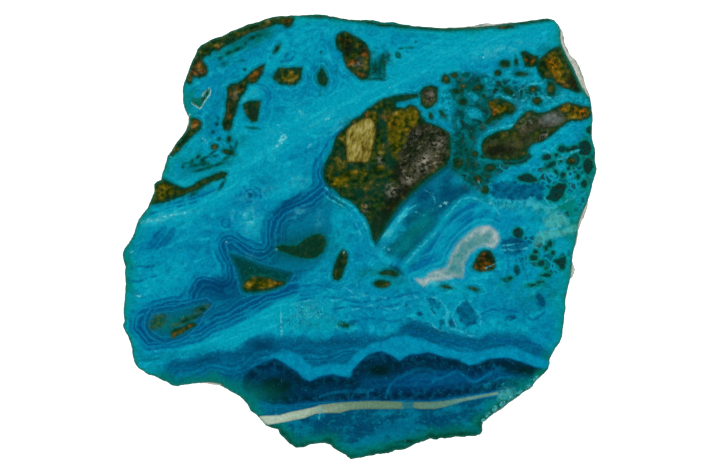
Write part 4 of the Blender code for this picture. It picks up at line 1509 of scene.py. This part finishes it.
under_colour = box.coats(
    paint(0, 76, 108),
    (paint(0, 116, 146), box.fade(box.grain(2.2, 4.0, 0.6, 1.6, 5, 5), 0.44, 0.6)),
    (paint(0, 60, 100), night, 0.8),
    (TEAL, box.fade(box.grain(0.7, 3.0), 0.55, 0.75), 0.5),
    (SEA_GREEN, box.fade(rim_wave, 3.6, 0.4, 0.0, 0.8)),
    (paint(0, 64, 50), box.fade(rim_wave, 1.5, 0.3, 0.0, 0.8)),
)
picture = box.coats(
    picture,
    (deep_colour, deep),
    (pale_colour, inside("pale_band", 0.5, 0.3, 0.9), 0.92),
    (lobe_colour, box.fade(lobe_depth, blur, box.times(blur, -1.0))),
    (paint(0, 108, 112), box.times(green_glow, deep), 0.6),
    (under_colour, inside("under_vein", 0.2, 0.2, 0.3)),
)
print("with the scallops there are", len(colours.nodes), "nodes")

# %% [markdown]
# ## The quartz vein
#
# The vein is nearly white at its left end and smoky green in the middle, so it is coloured by a ramp over the
# place from left to right. Noise that is stretched along the vein shifts that place, which makes streaks.
# A thread of blue crosses the vein where it once broke.

# %% The quartz vein
GAP_IN_VEIN_MM = place_mm(408, 0)[0]
sideways = box.node("ShaderNodeSeparateXYZ")
box.feed(sideways.inputs[0], box.place)
from_middle = sideways.outputs["X"]
vein_grain = box.times(box.centred(0.8, 3.0, 0.6, 4.0, 8), 14.0)
quartz_colours = box.ramp(box.add(from_middle, vein_grain), """
    -21:190,208,188 -12:168,192,170 -7:136,160,136 -2:112,144,120 3:98,134,110 8:98,134,110
    12:98,134,114 18:84,138,128 27:110,166,156
""")
vein_gap = box.sum("ABSOLUTE", box.add(from_middle, -GAP_IN_VEIN_MM))
quartz_colour = box.coats(
    quartz_colours,
    (paint(70, 92, 70), box.fade(moved("quartz", 0.15, 0.0), -0.35, 0.0), 0.45),
    (paint(16, 112, 128), box.fade(vein_gap, 1.7, 0.7, 0.0, 0.9)),
)
picture = box.lay(picture, quartz_colour, inside("quartz", 0.1, 0.12, 0.0))
print("with the vein there are", len(colours.nodes), "nodes")

# %% [markdown]
# ## Lobe and chalcedony
#
# Between the large clast and the right edge the stone filled a hollow: first clear blue layers, then grey
# chalcedony, which is pale at its skin and smoky inside. The layers of the lobe run beside the chalcedony, so
# a noise over the distance from it draws their lines.

# %% The blue lobe and the chalcedony
lobe_lines = box.fade(box.lines_along(moved("chalcedony", 0.2, 0.5), 0.8), 0.45, 0.62)
lobe_ground = box.coats(
    paint(0, 110, 156),
    (paint(0, 150, 180), box.fade(box.grain(2.2, 3.0, 0.5, 2.5, 42), 0.42, 0.62)),
    (BRIGHT, lobe_lines, 0.45),
    (paint(0, 62, 96), night),
)
by_the_rock = box.times(box.fade(box.field("rock"), 1.5, 0.1, 0.0, 0.9), inside("lobe", 0.3, 0.2, 0.4))
body_colour = box.coats(
    paint(0, 76, 102),
    (paint(0, 104, 132), box.fade(box.grain(1.6, 4.0, 0.6, 2.0, 42), 0.4, 0.65)),
    (SEA_GREEN, green_glow, 0.8),
    (NAVY, night, 0.8),
)
wedge_colour = box.lay(TURQUOISE, MIST_BLUE, box.fade(box.grain(0.5, 3.0, 0.6, 5.0, 48), 0.45, 0.68))
aqua_grain = box.fade(box.grain(1.2, 3.0, 0.6), 0.42, 0.62)
aqua_colour = box.lay(paint(70, 184, 182), paint(60, 146, 132), aqua_grain)
stone_cloud = box.fade(box.grain(1.1, 3.0, 0.55), 0.35, 0.65)
milk = box.times(box.field("milk"), box.fade(stone_cloud, 0.0, 1.0, 0.7, 1.2))
milk = box.add(milk, box.fade(moved("chalcedony", 0.5, 0.6), -0.8, -0.2, 0.0, 0.4))
chalcedony_colour = box.coats(
    CHALCEDONY_SMOKE,
    (paint(98, 152, 148), stone_cloud),
    (CHALCEDONY_PALE, box.sum("MINIMUM", milk, 1.0)),
)
picture = box.coats(
    picture,
    (lobe_ground, inside("lobe", 0.55, 0.4, 0.8)),
    (paint(0, 46, 62), by_the_rock),
    (body_colour, inside("teal_body", 1.3, 1.0, 4.0), 0.9),
    (paint(0, 158, 184), box.fade(moved("lobe_band", 0.3, 0.9), 1.3, 0.1, 0.0, 0.7)),
    (wedge_colour, inside("wedge", 0.18, 0.2, 0.2)),
    (aqua_colour, inside("aqua", 0.6, 0.9, 1.2), 0.75),
    (chalcedony_colour, inside("chalcedony", 0.5, 0.6, 0.4), 0.92),
)
print("with the lobe there are", len(colours.nodes), "nodes")

# %% [markdown]
# ## The net of cells
#
# Voronoi cells make a net: the distance to their nearest wall draws the pale walls, and the chance value of
# each cell picks its colour. The larger cells were read off the photograph one by one and are laid over the
# net, and so are the green, cyan and navy patches.

# %% Green ground, net and cells
green_grain = box.fade(box.grain(1.5, 2.5, 0.55), 0.42, 0.62)
green_ground = box.coats(
    paint(0, 66, 56),
    (paint(2, 118, 124), green_grain),
    (paint(10, 42, 28), box.fade(box.grain(1.4, 2.5, 0.55, away=9), 0.5, 0.64, 0.0, 0.9)),
    (paint(46, 62, 12), box.fade(box.grain(1.3, away=19), 0.54, 0.68, 0.0, 0.75)),
)
net_share = box.fade(box.add(box.field("net"), box.times(ripple, 0.7)), 0.2, 0.55)
wall_gap, chance = box.cells(1.45, 1.8)
cell_colours = box.ramp(chance, """
    0.25:0,112,138 0.38:0,84,98 0.46:0,62,60 0.54:8,46,30 0.62:28,50,16 0.72:0,84,100
""")
in_cells = box.times(box.times(net_share, box.fade(chance, 0.24, 0.38)), box.fade(wall_gap, 0.03, 0.2))
cyan_colour = box.lay(paint(0, 122, 138), paint(12, 160, 184), box.fade(box.grain(1.0, 3.0, 0.6), 0.4, 0.6))
dark_cell = box.lay(paint(0, 56, 54), BLACK_BROWN, box.fade(box.grain(0.6, 3.0), 0.42, 0.62))
navy_colour = box.lay(paint(0, 62, 98), paint(0, 98, 134), box.fade(box.grain(1.2, 3.0), 0.4, 0.6))
picture = box.coats(
    picture,
    (green_ground, inside("green_ground", 1.1, 1.0, 3.6), 0.95),
    (cell_colours, in_cells, 0.85),
    (paint(10, 150, 168), box.times(net_share, box.fade(wall_gap, 0.13, 0.0, 0.0, 0.6))),
    (paint(0, 66, 52), box.field("forest"), 0.8),
    (cyan_colour, inside("cyan", 0.5, 0.9, 1.0), 0.85),
    (box.lay(FOREST, DARK_FOREST, green_grain), inside("green", 0.22, 0.3, 0.1), 0.85),
    (SEA_GREEN, box.fade(moved("cells", 0.3, 0.1), 0.6, 0.1), 0.7),
    (dark_cell, inside("cells", 0.18, 0.7, 0.3), 0.92),
    (navy_colour, inside("navy", 0.35, 0.6, 1.2), 0.85),
)
print("with the net there are", len(colours.nodes), "nodes")

# %% [markdown]
# ## Rock, last of all the large things
#
# Brown host rock is a mix of grains of several minerals, so its colour is a ramp over a rough noise, from
# a dark green through olive to tan. Patches of ochre, rust, grey and beige tint it. Along its edge it is
# dark green, and that green bleeds a few tenths of a millimetre out into the blue.

# %% Clasts
lumps = box.grain(2.4, away=21)
rock_value = box.add(box.add(box.times(box.grain(0.9, 1.2, 0.45), 0.8), box.times(lumps, 0.95)), -0.375)
grey_value = box.add(box.times(box.grain(0.55, 3.0, 0.6, 1.3, 35, 51), 0.85), box.times(lumps, 0.5))
beige_value = box.add(box.times(box.grain(0.5, 3.0, 0.6, 3.0, 75), 0.6), box.times(lumps, 0.4))
plain_rock = box.ramp(rock_value, """
    0.34:10,32,10 0.42:18,50,14 0.49:32,60,12 0.55:48,66,14 0.61:66,68,12 0.68:86,82,20 0.76:114,106,52
""")
ochre_colour = box.ramp(rock_value, """
    0.34:26,46,4 0.43:52,62,2 0.5:74,74,2 0.56:88,82,6 0.63:102,90,10 0.7:124,102,14 0.78:150,128,40
""")
rust_colour = box.ramp(rock_value, """
    0.34:22,34,8 0.43:46,42,6 0.5:74,52,8 0.57:102,60,8 0.64:124,74,12 0.74:146,104,48
""")
grey_colour = box.ramp(box.add(grey_value, -0.17), """
    0.34:14,18,8 0.44:24,30,16 0.52:42,46,32 0.59:64,64,48 0.67:94,92,76 0.76:134,130,114
""")
beige_colour = box.ramp(beige_value, """
    0.36:88,72,18 0.44:122,110,40 0.52:146,136,60 0.6:168,158,90 0.68:196,188,128
""")
drab_colour = box.lay(paint(40, 46, 26), paint(82, 80, 50), box.fade(box.grain(1.6, 3.0, 0.55), 0.4, 0.66))
amber_grain = box.fade(box.grain(0.9, 3.0, 0.6, away=37), 0.44, 0.6)
pale_grain = box.fade(box.grain(0.7, away=27), 0.4, 0.64)
rock_depth = moved("rock", 0.5, 0.3)
rock_colour = box.coats(
    plain_rock,
    (paint(4, 52, 32), box.fade(box.grain(1.8, 3.0, 0.6, away=33), 0.5, 0.64, 0.0, 0.8)),
    (grey_colour, inside("grey", 0.5, 0.6, 0.6), 0.85),
    (rust_colour, inside("rust", 0.35, 0.6, 0.5), 0.9),
    (ochre_colour, inside("ochre", 0.2, 0.5, 0.4), 0.92),
    (drab_colour, box.field("drab"), 0.85),
    (paint(176, 106, 4), box.times(box.field("amber"), amber_grain)),
    (paint(14, 22, 12), inside("black", 0.7, 0.8, 0.9), 0.85),
    (paint(4, 56, 40), box.field("forest"), 0.9),
    (beige_colour, inside("beige", 0.08, 0.15, 0.0), 0.95),
    (paint(64, 54, 14), box.fade(box.sum("ABSOLUTE", box.field("beige")), 0.35, 0.1), 0.5),
    (paint(160, 156, 138), box.times(box.field("flecks"), pale_grain)),
    (paint(104, 118, 116), box.field("grey_glass"), 0.85),
    (paint(2, 62, 40), box.fade(rock_depth, -0.9, -0.1), 0.8),
    (paint(24, 84, 40), box.fade(rim_wave, 0.9, 0.1, 0.0, 0.5)),
)
rock_share = inside("rock", 0.2, 0.45, 0.2)
green_halo = box.fade(rock_depth, 0.65, 0.0)
picture = box.coats(picture, (paint(0, 96, 92), green_halo, 0.65), (rock_colour, rock_share))
print("with the rock there are", len(colours.nodes), "nodes")

# %% [markdown]
# ## Hairlines, specks and the worn rim
#
# The finest marks come last: pale hairlines and dark ones, white crystals in small cavities with painted
# glints, the crackled patch with painted shade for its pits, painted shade deep in the crack and a painted
# highlight on its lip, and the thin dark line where the polish ends at the rim.

# %% Fine marks
hairs = box.fade(moved("hairs", 0.25, 0.8), 0.26, 0.02)
ink = box.fade(moved("ink", 0.15, 0.4), 0.4, 0.04)
white = box.fade(moved("white", 0.6, 0.2), 0.12, -0.12)
lip = box.fade(moved("lip", 0.14, 0.0), 0.27, 0.04)
dots = box.grain(0.32, 1.0, away=5)
not_rock = box.sum("SUBTRACT", 1.0, rock_share)
crackle = box.field("crackle")
in_crackle = box.fade(crackle, 0.1, 0.6)
crack_depth = moved("crack", 0.3, 0.0)
picture = box.coats(
    picture,
    (paint(50, 182, 202), box.times(hairs, box.fade(box.grain(1.0, 3.0), 0.38, 0.6, 0.1, 0.75))),
    (paint(0, 84, 136), box.times(ink, box.fade(box.grain(1.6), 0.35, 0.55, 0.15, 0.7))),
    # White crystals and chips, with painted glints on them.
    (paint(124, 224, 228), box.times(white, box.fade(box.grain(0.35, 3.0, 0.6), 0.4, 0.6, 0.0, 0.8))),
    (paint(0, 148, 158), box.times(crackle, box.fade(box.grain(1.0, 3.0), 0.4, 0.6, 0.1, 0.6))),
    (paint(40, 200, 210), box.times(box.fade(dots, 0.62, 0.72), in_crackle)),
    # The dark dots in the crackled patch stand for its pits: painted shade.
    (paint(0, 70, 96), box.times(box.fade(dots, 0.36, 0.28), in_crackle)),
    (MIST_BLUE, box.times(box.fade(dots, 0.7, 0.8, 0.0, 0.3), not_rock)),
    (paint(0, 138, 108), box.fade(crack_depth, 0.2, -0.2, 0.0, 0.85)),
    # Deeper inside the crack the green darkens: painted shade in the hollow.
    (paint(0, 96, 72), box.fade(crack_depth, -0.3, -0.6, 0.0, 0.6)),
    # The pale line along the crack's lip is a painted highlight on its broken edge.
    (paint(184, 236, 222), box.times(lip, box.fade(box.grain(0.6, 3.0), 0.3, 0.6, 0.3, 0.95))),
)
speckle = box.fade(box.grain(0.5), 0.25, 0.75, 0.86, 1.14)
shaded = box.node("ShaderNodeHueSaturation")
box.feed(shaded.inputs["Value"], speckle)
box.feed(shaded.inputs["Color"], picture)
rim_line = box.fade(box.add(box.field("rim"), box.times(crinkle, 0.5)), 0.3, 0.0, 0.0, 0.25)
finished = box.lay(shaded.outputs["Color"], paint(0, 84, 72), rim_line)
out = box.node("NodeGroupOutput")
box.feed(out.inputs["Colour"], finished)
box.feed(out.inputs["Rock"], rock_share)
print("the stone's colours have", len(colours.nodes), "nodes")

# %% [markdown]
# ## Three finishes
#
# The face took a high polish, and only the softer rock in it stays a little duller, with pits. The broken
# wall is rough, and where it stands out past the face it wears the pale weathered skin. The back came off
# the saw: it is matte, hazed over by stone dust, and shows faint saw marks.

# %% Polished face
FACE_ROUGHNESS = 0.07


def new_finish(name):
    """A material with an empty tree, its shader and a paint box."""
    finish = bpy.data.materials.new(name)
    finish.use_nodes = True
    finish.node_tree.nodes.clear()
    tools = PaintBox(finish.node_tree)
    shader = tools.node("ShaderNodeBsdfPrincipled")
    output = tools.node("ShaderNodeOutputMaterial")
    tools.feed(output.inputs["Surface"], shader.outputs[0])
    stone = tools.node("ShaderNodeGroup", node_tree=colours)
    return finish, tools, shader, stone


def emboss(tools, shader, height, depth_mm, strength=1.0):
    """Gives the shader a bump whose full height is this many millimetres."""
    bump = tools.node("ShaderNodeBump")
    tools.feed(bump.inputs["Height"], height)
    tools.feed(bump.inputs["Distance"], depth_mm * MM)
    tools.feed(bump.inputs["Strength"], strength)
    tools.feed(shader.inputs["Normal"], bump.outputs[0])


polished, tools, shader, stone = new_finish("polished_stone")
tools.feed(shader.inputs["Base Color"], stone.outputs["Colour"])
smears = tools.fade(tools.grain(4.0, 3.0, 0.6), 0.4, 0.7, 0.0, 0.03)
duller = tools.times(stone.outputs["Rock"], tools.fade(tools.grain(0.6, 2.0), 0.4, 0.65, 0.0, 0.1))
tools.feed(shader.inputs["Roughness"], tools.add(tools.add(smears, duller), FACE_ROUGHNESS))
pits = tools.fade(tools.grain(0.35, 2.0), 0.3, 0.42)
emboss(tools, shader, pits, 0.006, 0.4)
print("the polished face:", len(polished.node_tree.nodes), "nodes round the group")

# %% [markdown]
# ## The wall's finish
#
# A fresh break is dull. The same noise drives the bump and the colour, so painted shade darkens its hollows
# and a painted highlight lightens its crests, the skin's included. The skin is chalky. It lies on the
# outermost parts of the wall, where the spots mark it, and low down it comes in patches of its own.

# %% Broken wall and its skin
FACE_MM = FACE_HEIGHT / MM

broken, tools, shader, stone = new_finish("broken_wall")
chips = tools.grain(1.3, 5.0, 0.65)
fine_chips = tools.grain(0.35, 4.0, 0.7)
height = tools.node("ShaderNodeSeparateXYZ")
tools.feed(height.inputs[0], tools.place)
below_face = tools.fade(height.outputs["Z"], FACE_MM - 0.3, FACE_MM - 0.9)
low_down = tools.fade(height.outputs["Z"], FACE_MM - 1.0, FACE_MM - 2.4)
# The pale coat on the crests of the fine chip noise is a painted highlight.
crest_highlight = tools.times(below_face, tools.fade(fine_chips, 0.58, 0.75, 0.0, 0.4))
crust = tools.times(low_down, tools.fade(tools.grain(2.0, 4.0, 0.65, away=45), 0.5, 0.66, 0.0, 0.7))
dirt = tools.times(low_down, tools.fade(tools.grain(1.4, 4.0, 0.6, away=46), 0.4, 0.6, 0.35, 0.9))
# The skin's ramp runs over the same noise as the bump, so besides its own grain it is painted shade in the
# hollows and a painted highlight on the crests.
relief_shaded_skin = tools.ramp(tools.add(tools.times(fine_chips, 0.6), tools.times(chips, 0.4)), """
    0.28:80,86,70 0.38:140,142,128 0.46:192,200,184 0.54:226,232,220 0.7:250,253,248
""")
skin_colour = tools.coats(
    relief_shaded_skin,
    (paint(120, 190, 176), tools.fade(tools.grain(2.5, 3.0, 0.6), 0.56, 0.72, 0.0, 0.6)),
    (paint(122, 124, 100), dirt),
)
skin_field = tools.add(tools.field("skin"), tools.times(tools.add(chips, -0.5), 4.0))
wall_patches = tools.times(tools.centred(3.4, 2.5, 0.6, away=44), 22.0)
skin_field = tools.add(skin_field, tools.times(low_down, wall_patches))
outside = tools.fade(tools.add(tools.field("rim"), tools.times(tools.add(fine_chips, -0.5), 0.5)), 0.0, -0.3)
wall_colour = tools.coats(
    stone.outputs["Colour"],
    # Where the chip noise is low, in the hollows of the bump, the colour gets painted shade.
    (paint(0, 60, 58), tools.fade(chips, 0.54, 0.38, 0.0, 0.6)),
    (paint(60, 156, 150), crest_highlight),
    (paint(0, 116, 94), tools.fade(below_face, 1.0, 0.0, 0.0, 0.35)),
    (paint(84, 92, 66), crust),
    (skin_colour, tools.times(tools.fade(skin_field, 0.4, -0.4), outside)),
)
tools.feed(shader.inputs["Base Color"], wall_colour)
tools.feed(shader.inputs["Roughness"], tools.fade(fine_chips, 0.3, 0.7, 0.5, 0.85))
tools.feed(shader.inputs["Specular IOR Level"], 0.1)
relief = tools.add(tools.times(chips, 0.6), tools.times(fine_chips, 0.4))
emboss(tools, shader, tools.times(relief, below_face), 0.8)
print("the broken wall:", len(broken.node_tree.nodes), "nodes round the group")

# %% [markdown]
# ## The back's finish
#
# A saw leaves shallow arcs about a millimetre apart, because its disc is large and moves on a little with
# each turn. A wave texture of rings gives them when its middle is moved far off to the side. Stone dust in
# the rough surface veils the colours.

# %% Sawn back
SAW_PITCH_MM = 1.1
SAW_CENTRE_MM = (-160.0, 40.0, 0.0)  # the middle of the saw's disc, so its marks are wide arcs
RING_PITCH = 0.314  # a wave texture of scale 1 has its rings this far apart

sawn, tools, shader, stone = new_finish("sawn_back")
dust = tools.fade(tools.grain(5.0, 4.0, 0.6), 0.35, 0.7, 0.16, 0.34)
back_colour = tools.lay(stone.outputs["Colour"], paint(120, 150, 150), dust)
tools.feed(shader.inputs["Base Color"], back_colour)
tools.feed(shader.inputs["Roughness"], tools.fade(tools.grain(0.5, 3.0), 0.3, 0.7, 0.5, 0.7))
marks = tools.node("ShaderNodeTexWave", wave_type="RINGS", rings_direction="Z")
saw_centre = tools.node("ShaderNodeMapping", vector_type="TEXTURE")
tools.feed(saw_centre.inputs["Vector"], tools.place)
tools.feed(saw_centre.inputs["Location"], SAW_CENTRE_MM)
tools.feed(marks.inputs["Vector"], saw_centre.outputs[0])
tools.feed(marks.inputs["Scale"], RING_PITCH / SAW_PITCH_MM)
tools.feed(marks.inputs["Distortion"], 1.2)
tools.feed(marks.inputs["Detail"], 2.0)
relief = tools.add(tools.times(marks.outputs["Fac"], 0.7), tools.times(tools.grain(0.4, 3.0), 0.3))
emboss(tools, shader, relief, 0.06, 0.8)
print("the sawn back:", len(sawn.node_tree.nodes), "nodes round the group")

# %% [markdown]
# ## Which cell wears which finish
#
# Three material slots on one mesh keep the slab one piece. A cell's own place and tilt say which it
# belongs to: the face looks up and lies inside the outline, the back looks down at the very bottom, and
# the rest is wall. The edge of the face is marked sharp, so that the polish doesn't bleed round it.

# %% Give each cell its finish
LOOKS_UP, LOOKS_DOWN = 0.985, -0.9  # the height of a cell's normal, on the face and on the back
SLACK_MM = 0.1  # how far under the crack's floor a cell may still belong to the face
BOTTOM_MM = 0.02  # how high above its lowest point a cell may still belong to the back

for finish in (polished, broken, sawn):
    slab.data.materials.append(finish)
cell_count = len(slab.data.polygons)
normals, middles = np.empty(cell_count * 3), np.empty(cell_count * 3)
slab.data.polygons.foreach_get("normal", normals)
slab.data.polygons.foreach_get("center", middles)
normals, middles = normals.reshape(-1, 3), middles.reshape(-1, 3)
inside_face = np.zeros(cell_count, bool)
high_up = middles[:, 2] > FACE_HEIGHT - (CRACK_DEPTH_MM + SLACK_MM) * MM
inside_face[high_up] = is_inside(middles[high_up, :2] / MM, face_outline)
top = inside_face & (normals[:, 2] > LOOKS_UP)
bottom = (middles[:, 2] < slab_low.z + BOTTOM_MM * MM) & (normals[:, 2] < LOOKS_DOWN)
finish_number = np.where(top, 0, np.where(bottom, 2, 1))
slab.data.polygons.foreach_set("material_index", finish_number.astype(np.int32))
select_only(slab)
bpy.ops.object.mode_set(mode="EDIT")
bpy.ops.mesh.select_all(action="DESELECT")
slab.active_material_index = 0
bpy.ops.object.material_slot_select()
bpy.ops.mesh.region_to_loop()
bpy.ops.mesh.mark_sharp()
bpy.ops.object.mode_set(mode="OBJECT")
print("cells of face, wall and back:", np.bincount(finish_number).tolist())

# %% [markdown]
# ## The camera
#
# The photograph looks straight down from some way off, so the camera does too. Its height follows from the
# lens: from there the photograph's width, measured on the face, just fills the sensor. The plain Standard
# view keeps the colours as they were mixed.

# %% Camera
LENS_MM, SENSOR_MM = 100.0, 36.0
view_x, view_y = place_mm(PHOTO_WIDTH / 2, PHOTO_HEIGHT / 2)
view_distance = PHOTO_WIDTH * PIXEL_MM * MM * LENS_MM / SENSOR_MM
camera_place = (view_x * MM, view_y * MM, FACE_HEIGHT + view_distance)
bpy.ops.object.camera_add(location=camera_place, rotation=(0, 0, 0))
camera = bpy.context.object
camera.name = "camera"
camera.data.lens = LENS_MM
camera.data.sensor_width = SENSOR_MM
camera.data.clip_start = 0.01
bpy.context.scene.camera = camera
bpy.context.scene.view_settings.view_transform = "Standard"
print("the camera is", round(view_distance, 3), "m above the face")

# %% [markdown]
# ## Light and floor
#
# A polished stone shows what is above it as well as its own colour. So the sky of this scene is bright at the
# horizon and dark overhead, like a light tent with an open top, and a ring of soft lamps stands round the
# slab, out of the mirror's way. The floor glows a little, since the photograph shows no shadow on it.

# %% Sky, lamps and floor
HORIZON_LIGHT, ZENITH_LIGHT = 0.55, 0.02
HORIZON_UP_TO, ZENITH_FROM = 0.25, 0.9  # the sines of the angles where the sky starts and stops to darken
LAMP_COUNT, LAMP_POWER, LAMP_SIZE, LAMP_REACH = 8, 0.6, 0.3, 0.6
LAMP_HEIGHT_ANGLE = math.radians(55)
FLOOR_SIZE = 6.0
FLOOR_GAP = 0.0001
FLOOR_GLOW = 0.6

world = bpy.data.worlds.new("tent")
bpy.context.scene.world = world
world.use_nodes = True
world.node_tree.nodes.clear()
sky = world.node_tree
direction = sky.nodes.new("ShaderNodeTexCoord")
split = sky.nodes.new("ShaderNodeSeparateXYZ")
sky.links.new(direction.outputs["Generated"], split.inputs[0])
fall = sky.nodes.new("ShaderNodeMapRange")
fall.interpolation_type = "SMOOTHSTEP"
for socket, value in zip(fall.inputs[1:5], (HORIZON_UP_TO, ZENITH_FROM, HORIZON_LIGHT, ZENITH_LIGHT)):
    socket.default_value = value
sky.links.new(split.outputs["Z"], fall.inputs[0])
background = sky.nodes.new("ShaderNodeBackground")
sky.links.new(fall.outputs[0], background.inputs["Strength"])
world_output = sky.nodes.new("ShaderNodeOutputWorld")
sky.links.new(background.outputs[0], world_output.inputs["Surface"])

for number in range(LAMP_COUNT):
    around = 2 * math.pi * (number + 0.5) / LAMP_COUNT
    flat = LAMP_REACH * math.cos(LAMP_HEIGHT_ANGLE)
    high = LAMP_REACH * math.sin(LAMP_HEIGHT_ANGLE)
    spot = Vector((flat * math.cos(around), flat * math.sin(around), high))
    bpy.ops.object.light_add(type="AREA", location=spot, rotation=spot.to_track_quat("Z", "Y").to_euler())
    lamp = bpy.context.object
    lamp.name = "lamp_" + str(number + 1)
    lamp.data.size = LAMP_SIZE
    lamp.data.energy = LAMP_POWER

bpy.ops.object.select_all(action="DESELECT")
bpy.ops.mesh.primitive_plane_add(size=FLOOR_SIZE, location=(0, 0, slab_low.z - FLOOR_GAP))
floor = bpy.context.object
floor.name = "floor"
bpy.ops.object.transform_apply(location=True, rotation=True, scale=True)
pale_floor = bpy.data.materials.new("pale_floor")
pale_floor.use_nodes = True
floor_shader = pale_floor.node_tree.nodes["Principled BSDF"]
for name, value in (
    ("Base Color", (0.9, 0.9, 0.9, 1)), ("Roughness", 0.9), ("Specular IOR Level", 0.0),
    ("Emission Color", (1, 1, 1, 1)), ("Emission Strength", FLOOR_GLOW),
):
    floor_shader.inputs[name].default_value = value
floor.data.materials.append(pale_floor)
print(LAMP_COUNT, "lamps and a floor", FLOOR_SIZE, "m wide")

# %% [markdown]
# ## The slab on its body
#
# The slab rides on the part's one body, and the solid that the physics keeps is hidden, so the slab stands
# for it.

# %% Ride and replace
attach(slab, "root")
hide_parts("slab")
